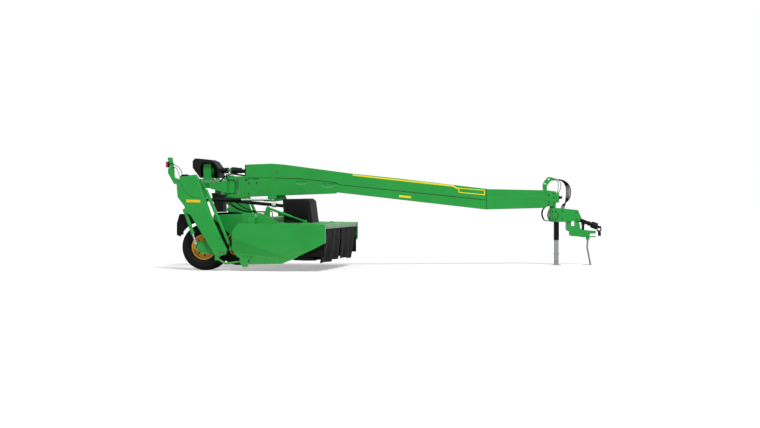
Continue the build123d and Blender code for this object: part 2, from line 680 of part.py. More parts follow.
def tongue_beam():
    """Tapered lower beam with its side pockets, stepped front and cylinder bracket."""
    half = TONGUE_WIDTH / 2
    beam = bevel_sides(side_plate(TONGUE_OUTLINE, -half, half), TONGUE_BEVEL)
    above = BEAM_BOTTOM
    upper_front = FRONT_CREASE + [(TONGUE_END + 1, above), (TONGUE_SEAM, above)]
    for side in (-1, 1):
        low_y = -half - 1 if side < 0 else half - FRONT_STEP
        beam -= side_plate(upper_front, low_y, low_y + FRONT_STEP + 1)
        for rear, front, low, high in POCKETS:
            pocket = side_plate(
                [(rear, low + 30), (rear, high), (front, high), (front, low), (rear + 40, low)],
                low_y, low_y + POCKET_DEPTH, 12) if side < 0 else side_plate(
                [(rear, low + 30), (rear, high), (front, high), (front, low), (rear + 40, low)],
                half - POCKET_DEPTH, half + 1, 12)
            beam -= pocket
    beam += side_plate([(252, 1620), (252, FORK_TOP[0]), (544, FORK_TOP[0]), (544, 1650)], -60, 60)
    beam += upright(HITCH_PIVOT, 0, HITCH_TOP + SEAT_GAP, 1180, HITCH_BOSS_RADIUS)
    cheek = side_plate(END_CHEEK, -half - END_CHEEK_SHEET, -half + 1)
    flange = block(END_FLANGE_X, (-END_FLANGE_HALF, END_FLANGE_HALF), END_FLANGE_Z)
    flange = chamfer(flange.edges().filter_by(Axis.X), 30)
    beam += cheek + left_of(cheek) + flange
    low_lug = swing_lug_levels()[0][0]
    beam += side_plate([(600, 1258), (640, low_lug), (850, low_lug), (1068, 1274), (1024, 1372), (880, 1366)], -40, 40)
    for low, high in swing_lug_levels():
        beam += block((690, 850), (SWING_EYE[1] - 45, 0), (low, high))
        beam += upright(*SWING_EYE, low - 4 if low < SWING_Z else low, high if low < SWING_Z else high + 6, 22)
    beam += block((690, 850), (-half, -40), (swing_lug_levels()[1][1] - 1, 1360))
    return beam


def tongue_channel():
    """Folded channel over the tongue that the drive shaft runs in."""
    half = TONGUE_WIDTH / 2
    outer = bevel_sides(side_plate(CHANNEL_OUTLINE, -half, half), CHANNEL_WALL - 1)
    hollow = [(x, z - CHANNEL_WALL) for x, z in CHANNEL_OUTLINE]
    hollow[0] = (hollow[0][0] - 50, hollow[0][1])
    hollow[-1] = (hollow[-1][0] - 50, hollow[-1][1])
    hollow[5] = (hollow[5][0] + 1, hollow[5][1])
    hollow[6] = (hollow[6][0] + 1, hollow[6][1])
    return outer - side_plate(hollow, -half + CHANNEL_WALL, half - CHANNEL_WALL)


def upper_shaft():
    """Guarded drive shaft from the pivot joint forward inside the channel."""
    start = (UPPER_SHAFT_START[0], 0, UPPER_SHAFT_START[1])
    end = (UPPER_SHAFT_END[0], 0, UPPER_SHAFT_END[1])
    shaft = rod(start, end, UPPER_SHAFT_RADIUS)
    collar = rod(start, (start[0] + 90, 0, start[2] - 8), UPPER_SHAFT_RADIUS + 10)
    bearing = rod((end[0] - 30, 0, end[2]), (TONGUE_SEAM, 0, end[2]), UPPER_SHAFT_RADIUS - 8)
    fork = Rot(0, 0, 180) * Rot(90, 0, 0) * yoke(start[0] + 20)
    fork -= upright(0, 0, -CROSS_HALF - 9, CROSS_HALF + 9, CROSS_RADIUS + PIN_GAP)
    return shaft + collar + bearing + Pos(0, 0, start[2]) * fork


def output_stub():
    """Short drive stub with its collar on the tongue's end flange."""
    x_low, x_high = END_FLANGE_X
    z = sum(END_FLANGE_Z) / 2
    return rod((x_high, 0, z), (x_high + 30, 0, z), 44) + rod((x_high + 29, 0, z), (STUB_END, 0, z), 26)


def hose_bracket():
    """Post on the tongue's end with a forward arm that carries the hoses."""
    plate = side_plate(BRACKET_POST, -BRACKET_POST_HALF, BRACKET_POST_HALF, 8)
    for x, z, radius in BRACKET_POST_HOLES:
        plate -= cross_rod(x, z, -20, 20, radius)
    return plate + hose_clamp()


def hose_clamp():
    """Block on the bracket's tip that grips the hoses."""
    half = HOSE_SPREAD * 2
    return block(HOSE_CLAMP_X, (-half, half), (HOSE_CLAMP_Z - 18, HOSE_CLAMP_Z + 18))


def hitch_hoses():
    """Four pressure hoses that bow from the bracket down to the top of the swivel housing."""
    hoses = []
    clamp = hose_clamp()
    for step in range(4):
        across = (step - 1.5) * HOSE_SPREAD
        start = (HOSE_CLAMP_X[1] - HOSE_RADIUS, across, HOSE_CLAMP_Z)
        bow = (HOSE_BOW[0] - 12 * step, across * 1.2, HOSE_BOW[1] - 8 * step)
        end_x = HOSE_END_X + 26 * step
        end = (end_x, across * 1.4, housing_top(end_x) + HOSE_END_GAP)
        arc = ThreePointArc(start, bow, end)
        hoses.append(sweep(Plane(origin=start, z_dir=arc % 0) * Circle(HOSE_RADIUS), path=arc) - clamp)
    return hoses


def housing_top(x):
    """Height of the swivel housing's sloping top at a distance along the tongue."""
    (x1, z1), (x2, z2) = HITCH_SLOPE
    return z1 + (x - x1) / (x2 - x1) * (z2 - z1)


# Swing cylinder, drawn in the machine frame at rest

def swing_points():
    """Barrel pin and rod eye of the swing cylinder at rest."""
    turn = radians(TONGUE_SWING)
    along, across = SWING_EYE
    eye = Vector(along * cos(turn) - across * sin(turn), along * sin(turn) + across * cos(turn), SWING_Z)
    return Vector(*SWING_PIN, SWING_Z), eye


def swing_barrel():
    pin, eye = swing_points()
    along = (eye - pin).normalized()
    body = rod(pin + along * SWING_NECK, pin + along * SWING_BARREL_LENGTH, SWING_BARREL_RADIUS)
    bore_start = pin + along * (SWING_NECK + BARREL_END)
    body -= rod(bore_start, pin + along * (SWING_BARREL_LENGTH + 1), SWING_ROD_RADIUS + PIN_GAP)
    half = SWING_EYE_WIDTH / 2
    body += rod(pin, pin + along * (SWING_NECK + 5), half)
    body += upright(pin.X, pin.Y, SWING_Z - half, SWING_Z + half, SWING_EYE_RADIUS)
    return body - upright(pin.X, pin.Y, SWING_Z - 40, SWING_Z + 40, SWING_PIN_RADIUS + PIN_GAP)


def swing_rod():
    pin, eye = swing_points()
    along = (eye - pin).normalized()
    length = (eye - pin).length
    start = pin + along * (length - SWING_ROD_LENGTH)
    body = rod(start, eye, SWING_ROD_RADIUS)
    half = SWING_EYE_WIDTH / 2
    return body + upright(eye.X, eye.Y, SWING_Z - half, SWING_Z + half, SWING_EYE_RADIUS)


# Driveline

def yoke(hub_end, bore=0):
    """Half of a universal joint centred on the origin: two ears on a hub that leaves along -X."""
    web, hub_start = YOKE_WEB
    ear = hull_plate([((0, 0), YOKE_EYE_RADIUS), ((-web, 0), YOKE_HUB_RADIUS - 4)], *YOKE_EAR)
    ear = ear - block((-200, -hub_start), (0, 100), (-100, 100))
    half = ear + left_of(ear) + block((-hub_start, -web), (-YOKE_EAR[1], YOKE_EAR[1]), (-26, 26))
    return half + rod((-hub_end, 0, 0), (1 - hub_start, 0, 0), YOKE_HUB_RADIUS, bore)


def joint_cross():
    """Cross between two yokes, with one pin along Y and one along Z."""
    return cross_rod(0, 0, -CROSS_HALF, CROSS_HALF, CROSS_RADIUS) + upright(0, 0, -CROSS_HALF, CROSS_HALF, CROSS_RADIUS)


def upper_gearbox():
    """Gearbox on the beam, its output stub, and the yoke and cross over the tongue's pivot."""
    z = UPPER_SHAFT_START[1]
    box = block(GEARBOX_X, (-GEARBOX_HALF, GEARBOX_HALF), (BEAM_TOP, GEARBOX_TOP))
    box = fillet(box.edges().filter_by(Axis.Y), 18)
    flange = rod((GEARBOX_X[1] - 1, 0, z), (GEARBOX_X[1] + 40, 0, z), 78)
    cone = rod((GEARBOX_X[1] + 39, 0, z), (-YOKE_WEB[1] - 20, 0, z), UPPER_SHAFT_RADIUS + 8)
    joint = Pos(0, 0, z) * (yoke(YOKE_WEB[1] + 40) + joint_cross())
    base = block((GEARBOX_X[0] - 9, GEARBOX_X[1] + 11), (-GEARBOX_HALF - 30, GEARBOX_HALF + 30), (BEAM_TOP, BEAM_TOP + 18))
    return box + flange + cone + joint + base


def upper_guard():
    """Bent guard band over the gearbox, open at its sides."""
    outline = Polygon(*GUARD_OUTLINE, align=None)
    outline = fillet(outline.vertices().filter_by(lambda v: v.Y > 1700), 22)
    inner = offset(outline, -GUARD_WALL)
    band = outline - inner
    guard = extrude(Plane.XZ.offset(-GUARD_HALF) * band, 2 * GUARD_HALF, dir=(0, -1, 0))
    opening = block((GUARD_OUTLINE[0][0] + GUARD_WALL, -176 - GUARD_WALL), (-GUARD_HALF, GUARD_HALF), (1600, 1691 + 2 * GUARD_WALL))
    guard -= opening
    front = GUARD_OUTLINE[-1][0]
    guard -= rod((front - 60, 0, UPPER_SHAFT_START[1]), (front + 60, 0, UPPER_SHAFT_START[1]), UPPER_SHAFT_RADIUS + 20)
    left_wall = side_plate(GUARD_OUTLINE, GUARD_HALF - GUARD_WALL / 2, GUARD_HALF, 22)
    window = side_plate(GUARD_WINDOW, -GUARD_HALF - 1, -GUARD_HALF + GUARD_WALL, 18)
    right_wall = left_of(left_wall) - window
    guard += left_wall + right_wall
    middle = (GEARBOX_X[0] + GEARBOX_X[1]) / 2
    return guard + block((middle - 35, middle + 35), (-60, 60), (GEARBOX_TOP, GUARD_OUTLINE[4][1] + 5))


def lower_gearbox():
    """Gearbox that hangs from the nose, behind its guard."""
    box = block(LOWER_BOX_X, (-LOWER_BOX_HALF, LOWER_BOX_HALF), (1200, NOSE_REAR_BOTTOM + 40))
    return box


def lower_guard():
    guard = bevel_sides(side_plate(LOWER_GUARD_OUTLINE, -LOWER_GUARD_HALF, LOWER_GUARD_HALF), 14)
    return guard


def lower_shaft():
    """Guarded shaft down to the header gearbox, with its pale collar."""
    start = (LOWER_SHAFT_START[0], 0, LOWER_SHAFT_START[1])
    end = (LOWER_SHAFT_END[0], 0, LOWER_SHAFT_END[1])
    shaft = rod(start, end, LOWER_SHAFT_RADIUS)
    slope = (end[2] - start[2]) / (end[0] - start[0])
    collar = [(x, 0, start[2] + slope * (x - start[0])) for x in COLLAR_AT]
    return shaft + rod(*collar, COLLAR_RADIUS)


# Header

def header_side():
    """Right-hand side shield, folded inward under its crease, then upright again."""
    shield = side_plate(SHIELD_OUTLINE, -HALF_WIDTH, -SIDE_INNER, 12) - shield_fold()
    shoe_face = -LINK_Y - LINK_EYE_WIDTH / 2 - LUG_THICKNESS
    shield += side_plate(CORNER_SHOE, shoe_face - 12, shoe_face)
    end = LINK_PATH[-1]
    for side in (-1, 1):
        middle = LINK_Y + side * (LINK_EYE_WIDTH / 2 + LUG_THICKNESS / 2 + 1)
        shield += side_plate(
            [(end[0] - 30, end[1] - 40), (end[0] + 80, end[1] - 60), (end[0] + 150, end[1] + 60), (end[0] - 30, end[1] + 90)],
            -middle - LUG_THICKNESS / 2, -middle + LUG_THICKNESS / 2,
        )
    return shield + cross_rod(*end, -LINK_Y - LINK_EYE_WIDTH, -LINK_Y + LINK_EYE_WIDTH, LINK_PIN_RADIUS)


def shield_fold():
    """Wedge that the folded lower facet and the upright strip below it cut from the shield."""
    (x1, z1), (x2, z2) = SHIELD_CREASE
    crease = Vector(x1, -HALF_WIDTH, z1)
    tip = Vector(x2, -HALF_WIDTH, z2)
    fold = Vector(SHIELD_FOLD[0], -HALF_WIDTH + SHIELD_FOLD_DEPTH, SHIELD_FOLD[1])
    down = Vector(0, 0, -1)
    wedge = block((x1 - 200, x2), (-HALF_WIDTH - 1, -SIDE_INNER), (0, z1 + 100))
    for along, other in ((tip - crease, fold - crease), (tip - fold, down)):
        outward = along.cross(other)
        if outward.Y > 0:
            outward = outward * -1
        wedge = split(wedge, bisect_by=Plane(origin=tip, z_dir=outward), keep=Keep.TOP)
    return wedge


def end_flap():
    """Rubber flap inside the shield, behind the front curtain's end."""
    return side_plate(FLAP_OUTLINE, -SIDE_INNER, -SIDE_INNER + FLAP_SHEET)


def header_deck():
    """Top sheet of the header with its rear walls and the rods of the cover hinges."""
    low = DECK_TOP - DECK_SHEET
    middle = block((700, DECK_FRONT), (-HOOD_HALF, HOOD_HALF), (low, DECK_TOP))
    profile = [
        (DECK_FRONT, low), (DECK_FRONT, DECK_TOP), (DECK_REAR, DECK_TOP), (REAR_WALL_X, 704),
        (REAR_WALL_X, REAR_WALL_BOTTOM), (REAR_WALL_X + DECK_SHEET, REAR_WALL_BOTTOM),
        (REAR_WALL_X + DECK_SHEET, 700), (DECK_REAR + 5, low),
    ]
    outer = side_plate(profile, -SIDE_INNER, -HOOD_HALF)
    for side in (-1, 1):
        plane = STRUT_Y + side * 20
        outer += side_plate(
            [(360, 360), (REAR_WALL_X + 1, 380), (REAR_WALL_X + 1, 470), (400, 440), (360, 420)],
            -plane - 5, -plane + 5)
    outer += cross_rod(*STRUT_BOTTOM, -STRUT_Y - 32, -STRUT_Y + 32, 12)
    rear_x, axis_z = COVER_HINGE
    outer += cross_rod(rear_x, axis_z, -SIDE_INNER + 6, -8, COVER_ROD_RADIUS)
    for y in (20, 450, 980, 1415):
        outer += block((DECK_FRONT - 1, rear_x), (-y - 12, -y + 12), (low, DECK_TOP))
    for y in DECK_RIBS:
        outer += pressed_rib(DECK_RIB_X, -y)
    return middle + outer + left_of(outer)


def pressed_rib(x_range, y):
    """Stiffening rib pressed up in the top sheet, with sloping ends."""
    low, high = x_range
    return side_plate(
        [(low, DECK_TOP - 2), (high, DECK_TOP - 2), (high - 14, DECK_TOP + RIB_RISE), (low + 14, DECK_TOP + RIB_RISE)],
        y - RIB_HALF, y + RIB_HALF)


def rear_hood():
    """Hood behind the conditioner: two side walls under a folded top sheet."""
    wall = side_plate(HOOD_SIDE, -HOOD_HALF, -HOOD_HALF + HOOD_SHEET)
    wall -= cross_rod(ROTOR_X, ROTOR_Z, -HOOD_HALF - 1, -HOOD_HALF + HOOD_SHEET + 1, ROTOR_STUB_RADIUS + PIN_GAP)
    foot_x, foot_z = HOOD_FOOT
    crest_x, crest_z = HOOD_CREST
    rear_x, rear_z = HOOD_REAR
    top = side_plate(
        [HOOD_REAR, (rear_x, rear_z - HOOD_SHEET), (crest_x, crest_z - HOOD_SHEET), HOOD_FOOT,
         (foot_x + 12, foot_z), (foot_x + 12, DECK_TOP), HOOD_CREST],
        -HOOD_HALF, HOOD_HALF)
    for y in HOOD_RIBS:
        rib = side_plate(
            [(rear_x + 40, rear_z - 2), (crest_x - 40, crest_z - 2), (crest_x - 52, crest_z + RIB_RISE),
             (rear_x + 52, rear_z + RIB_RISE)], y - RIB_HALF, y + RIB_HALF)
        top += rib
    return wall + left_of(wall) + top - block((foot_x, DECK_FRONT), (-HOOD_HALF, HOOD_HALF), (foot_z, DECK_TOP + 12))


def header_frame():
    """Cross tube on the deck with its carrying brackets and the stay to the front of the deck."""
    tube = block(CROSS_TUBE_X, (-SIDE_INNER, SIDE_INNER), (DECK_TOP, CROSS_TUBE_TOP))
    tube = fillet(tube.edges().filter_by(Axis.Y), 12)
    x, z, radius = BRACKET_HOLE
    plate = side_plate(BRACKET_OUTLINE, -BRACKET_Y - BRACKET_PLATE / 2, -BRACKET_Y + BRACKET_PLATE / 2, 10)
    plate -= cross_rod(x, z, -BRACKET_Y - 20, -BRACKET_Y + 20, radius)
    near, far = -STAY_Y - STAY_HALF, -STAY_Y + STAY_HALF
    top, join, foot = [(x, -STAY_Y, z) for x, z in (STAY_TOP, STAY_JOIN, STAY_FOOT)]
    stay = side_plate(STAY_POST, near, far)
    stay += rod(top, join, STAY_RADIUS) + rod(join, foot, STAY_RADIUS - 10)
    stay += side_plate([(1465, DECK_TOP), (1560, DECK_TOP), (1528, 905), (1490, 905)], near, far)
    return tube + plate + left_of(plate) + stay


def bell_guard():
    """Black guard over the header gearbox, open at its rear and bottom."""
    outer = bevel_sides(side_plate(BELL_OUTLINE, -BELL_HALF, BELL_HALF, 16), 10)
    hollow = [(1060, 780), (1040, 1284), (1526, 1293), (1578, 1250), (1644, 780)]
    outer -= side_plate(hollow, -BELL_HALF + BELL_WALL, BELL_HALF - BELL_WALL, 10)
    return outer - block((1000, 1700), (-BELL_HALF, BELL_HALF), (700, DECK_TOP))


def header_gearbox():
    box = block(HEADER_BOX_X, (-HEADER_BOX_HALF, HEADER_BOX_HALF), (DECK_TOP, HEADER_BOX_TOP))
    return fillet(box.edges().filter_by(Axis.Y), 25)


def disc_places():
    """Y of each disc, from the right to the left."""
    first = -(DISC_COUNT - 1) / 2 * DISC_PITCH
    return [first + step * DISC_PITCH for step in range(DISC_COUNT)]


def cutterbar():
    """Flat bar with a shoe and a stub for each disc, and its two end hangers."""
    bar = side_plate(BAR_OUTLINE, -SIDE_INNER, SIDE_INNER)
    for y in disc_places():
        bar += upright(DISC_X, y, BAR_BOTTOM - SHOE_THICKNESS, BAR_BOTTOM + SHOE_THICKNESS, SHOE_RADIUS)
        bar += upright(DISC_X, y, BAR_BOTTOM + 20, BAR_TOP + DISC_GAP + 16, DISC_STUD_RADIUS)
    hanger = side_plate(BAR_HANGER, -SIDE_INNER, -SIDE_INNER + 14)
    return bar + hanger + left_of(hanger)


def disc(number):
    """Cutting disc with two knives; the end discs carry a crop drum."""
    y = disc_places()[number]
    low = BAR_TOP + DISC_GAP
    plate = upright(0, 0, low + 8, low + DISC_HEIGHT, DISC_RADIUS)
    plate = chamfer(plate.faces().sort_by(Axis.Z)[-1].edges(), 10)
    if number in (0, DISC_COUNT - 1):
        with_cone = Pos(0, 0, low + DISC_HEIGHT + DRUM_HEIGHT / 2 - 1) * Cone(DRUM_RADIUS, DRUM_RADIUS - 25, DRUM_HEIGHT)
    else:
        with_cone = Pos(0, 0, low + DISC_HEIGHT + HUB_CAP_HEIGHT / 2 - 1) * Cone(HUB_CAP_RADIUS, HUB_CAP_RADIUS - 35, HUB_CAP_HEIGHT)
    plate += with_cone
    for side in (-1, 1):
        x_range = sorted((side * KNIFE_START, side * KNIFE_REACH))
        plate += block(x_range, (-KNIFE_WIDTH / 2, KNIFE_WIDTH / 2), (low + 1, low + 1 + KNIFE_THICKNESS))
        plate += upright(side * (KNIFE_START + 22), 0, low + 1, low + 12, 14)
    plate -= upright(0, 0, low - 10, low + 16 + SEAT_GAP, DISC_STUD_RADIUS + PIN_GAP)
    turn = 90 if number % 2 else 0
    return Pos(DISC_X, y, 0) * Rot(0, 0, turn) * plate


def rotor():
    """Conditioner rotor: tube with four staggered rows of V tines."""
    half = ROTOR_HALF
    body = cross_rod(0, 0, -half, half, ROTOR_RADIUS)
    pitch = 2 * (half - 60) / (TINES_PER_ROW - 1)
    for row in range(TINE_ROWS):
        shift = pitch / 2 * (row % 2)
        count = TINES_PER_ROW - (row % 2)
        for step in range(count):
            y = -half + 60 + shift + step * pitch
            tine = side_plate(
                [(ROTOR_RADIUS - 12, -TINE_WIDTH / 2), (TINE_REACH - 6, -TINE_WIDTH / 2 + 14),
                 (TINE_REACH - 6, TINE_WIDTH / 2 + 8), (ROTOR_RADIUS - 12, TINE_WIDTH / 2)],
                y - TINE_THICKNESS / 2, y + TINE_THICKNESS / 2)
            body += Rot(0, 90 * row, 0) * tine
    for side in (-1, 1):
        y_range = sorted((side * half, side * (HOOD_HALF + 20)))
        body += cross_rod(0, 0, y_range[0], y_range[1], ROTOR_STUB_RADIUS)
    return Pos(ROTOR_X, 0, ROTOR_Z) * body


def front_cover():
    """Right-hand front cover: top sheet with rolled front lip and hinge eyes."""
    low = DECK_TOP - COVER_SHEET
    y_range = (-SIDE_INNER + SIDE_GAP, -3)
    cover = block((COVER_REAR, COVER_FRONT), y_range, (low, DECK_TOP))
    cover += block((COVER_FRONT - COVER_SHEET, COVER_FRONT), y_range, (COVER_LIP_BOTTOM, DECK_TOP))
    outer_edge = cover.edges().filter_by(Axis.Y).sort_by(lambda e: e.center().X + e.center().Z)[-1]
    cover = fillet(outer_edge, 7)
    for y in COVER_RIBS:
        cover += pressed_rib((COVER_REAR + 60, COVER_FRONT - 60), -y)
    rear_x, axis_z = COVER_HINGE
    for y in COVER_EYES:
        y_low, y_high = -y - COVER_EYE_WIDTH / 2, -y + COVER_EYE_WIDTH / 2
        eye = cross_rod(rear_x, axis_z, y_low, y_high, COVER_EYE_RADIUS)
        eye += block((rear_x, COVER_REAR + 1), (y_low, y_high), (low, DECK_TOP))
        cover += eye - cross_rod(rear_x, axis_z, y_low - 1, y_high + 1, COVER_ROD_RADIUS + PIN_GAP)
    return cover


def curtain():
    """Rubber curtain that hangs inside the cover's lip."""
    front = COVER_FRONT - COVER_SHEET
    y_range = (-SIDE_INNER + 2 * SIDE_GAP, -5)
    return block((front - CURTAIN_SHEET, front), y_range, (CURTAIN_BOTTOM, DECK_TOP - COVER_SHEET))


def lower_link():
    """Bent link between the foot of the leg and the header."""
    points = [(x, -LINK_Y, z) for x, z in LINK_PATH]
    path = FilletPolyline(*points, radius=60)
    start = points[0]
    section = Plane(origin=start, z_dir=Vector(*points[1]) - Vector(*start)) * Circle(LINK_RADIUS)
    link = sweep(section, path)
    half = LINK_EYE_WIDTH / 2
    for x, z in (LINK_PATH[0], LINK_PATH[-1]):
        link += cross_rod(x, z, -LINK_Y - half, -LINK_Y + half, LINK_EYE_RADIUS)
    for x, z in (LINK_PATH[0], LINK_PATH[-1]):
        link -= cross_rod(x, z, -LINK_Y - half - 1, -LINK_Y + half + 1, LINK_PIN_RADIUS)
    return link


def float_strut():
    """Float strut beside the leg: thin rod above, tube below, an eye at each end."""
    top = (STRUT_TOP[0], -STRUT_Y, STRUT_TOP[1])
    join = (STRUT_JOIN[0], -STRUT_Y, STRUT_JOIN[1])
    low = (STRUT_BOTTOM[0], -STRUT_Y, STRUT_BOTTOM[1])
    neck = Vector(*low) + (Vector(*join) - Vector(*low)).normalized() * STRUT_NECK
    strut = rod(top, join, STRUT_ROD_RADIUS) + rod(join, neck, STRUT_RADIUS) + rod(neck, low, 14)
    strut += cross_rod(*STRUT_TOP, -HALF_WIDTH + LEG_THICKNESS, -STRUT_Y + 15, 24)
    strut += cross_rod(*STRUT_BOTTOM, -STRUT_Y - 15, -STRUT_Y + 15, 34)
    return strut - cross_rod(*STRUT_BOTTOM, -STRUT_Y - 40, -STRUT_Y + 40, 12)


# Hitch, drawn on the straight tongue

def hitch_head():
    """Swivel gearbox housing with the pin that the tongue's end turns on."""
    half = HITCH_HALF
    body = bevel_sides(side_plate(HITCH_HOUSING, -half, half), 8)
    body &= (upright(HITCH_PIVOT, 0, HITCH_BOTTOM, HITCH_TOP, HITCH_ROUND)
             + block((HITCH_PIVOT, 6900), (-half, half), (HITCH_BOTTOM, HITCH_TOP)))
    x, z = COVER_CENTRE
    body += cross_rod(x, z, -half - COVER_DEPTH, half + COVER_DEPTH, COVER_RADIUS)
    body += cross_rod(x, z, -half - COVER_DEPTH - 10, half + COVER_DEPTH + 10, 40)
    for step in range(COVER_BOLTS):
        angle = 2 * pi * (step + 0.5) / COVER_BOLTS
        reach = COVER_RADIUS - 16
        body += cross_rod(x + reach * cos(angle), z + reach * sin(angle), -half - COVER_DEPTH - 8, half + COVER_DEPTH + 8, 8)
    return body


def drawbar():
    """Cranked drawbar under the housing with a window and a clevis eye."""
    half = DRAWBAR_HALF
    rear, front, low, high = DRAWBAR_WINDOW
    bar = bevel_sides(side_plate(DRAWBAR_OUTLINE, -half, half), 6)
    bar -= side_plate([(rear, low), (front, low), (front, high), (rear, high)], -half - 1, half + 1, 16)
    bar -= hitch_head()
    eye_low, eye_high = EYE_LEVELS
    bar += upright(DRAWBAR_EYE, 0, eye_low, eye_high, EYE_BOSS_RADIUS)
    bar -= upright(DRAWBAR_EYE, 0, eye_high, eye_high + 60, EYE_BOSS_RADIUS + 2)
    bar -= upright(DRAWBAR_EYE, 0, eye_low - 40, eye_high + 40, DRAWBAR_EYE_RADIUS)
    bar -= block((DRAWBAR_EYE - EYE_SLOT_DEPTH, DRAWBAR_EYE + 100), (-half - 10, half + 10), EYE_SLOT)
    x, z = STAND_PIVOT
    for side in (-1, 1):
        faces = sorted((side * STAND_LUG_FACE, side * (STAND_LUG_FACE + 12)))
        bar += block((x - 22, x + 22), faces, (z - 18, eye_low + 10))
    return bar + cross_rod(x, z, -STAND_LUG_FACE - 16, STAND_LUG_FACE + 16, STAND_PIN_RADIUS)


def pto_axis():
    """Joint centre of the drive shaft and the direction in which the shaft reaches it."""
    start = Vector(PTO_START[0], 0, PTO_START[1])
    joint = Vector(PTO_JOINT[0], 0, PTO_JOINT[1])
    return joint, (joint - start).normalized()


def pto_shaft():
    """Guard tube of the drive shaft that leaves the housing, and the open bell round its joint."""
    joint, along = pto_axis()
    start = (PTO_START[0], 0, PTO_START[1])
    tube_end = joint - along * PTO_TUBE_GAP
    bell_back, bell_mouth = [joint - along * gap for gap in PTO_BELL]
    shaft = rod(start, tube_end, PTO_RADIUS) + rod(bell_back, bell_mouth, PTO_BELL_RADIUS)
    shaft -= rod(tube_end, joint, PTO_BELL_RADIUS - PTO_BELL_WALL)
    return shaft - hitch_head()


def pto_joint():
    """Universal joint of the drive shaft, with its outer yoke hanging as parked."""
    joint, along = pto_axis()
    inner = yoke(PTO_TUBE_GAP)
    outer = Rot(90, 0, 0) * yoke(PTO_YOKE_LENGTH)
    outer -= rod((-PTO_YOKE_LENGTH - 1, 0, 0), (PTO_BORE_LENGTH - PTO_YOKE_LENGTH, 0, 0), PTO_BORE_RADIUS)
    slope = degrees(atan2(-along.Z, along.X))
    hanging = Rot(0, -PTO_YOKE_TILT, 0) * (outer + joint_cross())
    return Pos(joint) * (Rot(0, slope, 0) * inner + hanging)


def pto_rest():
    """Upright post on the drawbar with a cradle for the drive shaft."""
    x_low, x_high = PTO_REST_X
    post = block((x_low, x_high), (-20, 20), (640, 800))
    cradle = block((x_low, x_high), (-54, 54), (785, 862))
    return post + cradle - pto_shaft() - drawbar() - block((x_low - 1, x_high + 1), (-44, 44), (850, 950))


def jack_tube():
    """Square outer tube of the parking jack, welded under the housing."""
    half = JACK_OUTER / 2
    tube = block((JACK_X - half, JACK_X + half), (-half, half), (JACK_BOTTOM, 843))
    bore = half - JACK_WALL
    return tube - block((JACK_X - bore, JACK_X + bore), (-bore, bore), (JACK_BOTTOM - 1, 838))


def jack_leg():
    """Inner leg of the jack with its locking pin and foot."""
    half = JACK_INNER / 2
    length, width, thickness = JACK_FOOT
    leg = block((JACK_X - half, JACK_X + half), (-half, half), (thickness, JACK_INNER_TOP))
    leg += block((JACK_X - length / 2, JACK_X + length / 2), (-width / 2, width / 2), (0, thickness))
    return leg + cross_rod(JACK_X, JACK_BOTTOM - JACK_TRAVEL - 20, -half - 26, half + 26, 9)


def parking_stand():
    """Folding stand under the drawbar: two rods on a foot."""
    x, z = STAND_PIVOT
    length, width, thickness = STAND_FOOT
    reach = STAND_LUG_FACE - SEAT_GAP
    stand = cross_rod(x, z, -reach, reach, 20)
    for side in (-1, 1):
        y = side * 22
        knee = (STAND_KNEE[0], y, STAND_KNEE[1])
        stand += rod((x, y, z), knee, STAND_RADIUS) + rod(knee, (STAND_END_X, y, thickness), STAND_RADIUS)
        stand += Pos(*knee) * Sphere(STAND_RADIUS)
    stand -= cross_rod(x, z, -reach - 1, reach + 1, STAND_PIN_RADIUS + PIN_GAP)
    stand += block((STAND_FOOT_X - length / 2, STAND_FOOT_X + length / 2), (-width / 2, width / 2), (0, thickness))
    return stand


# Every node with its solids, before the move to the origin

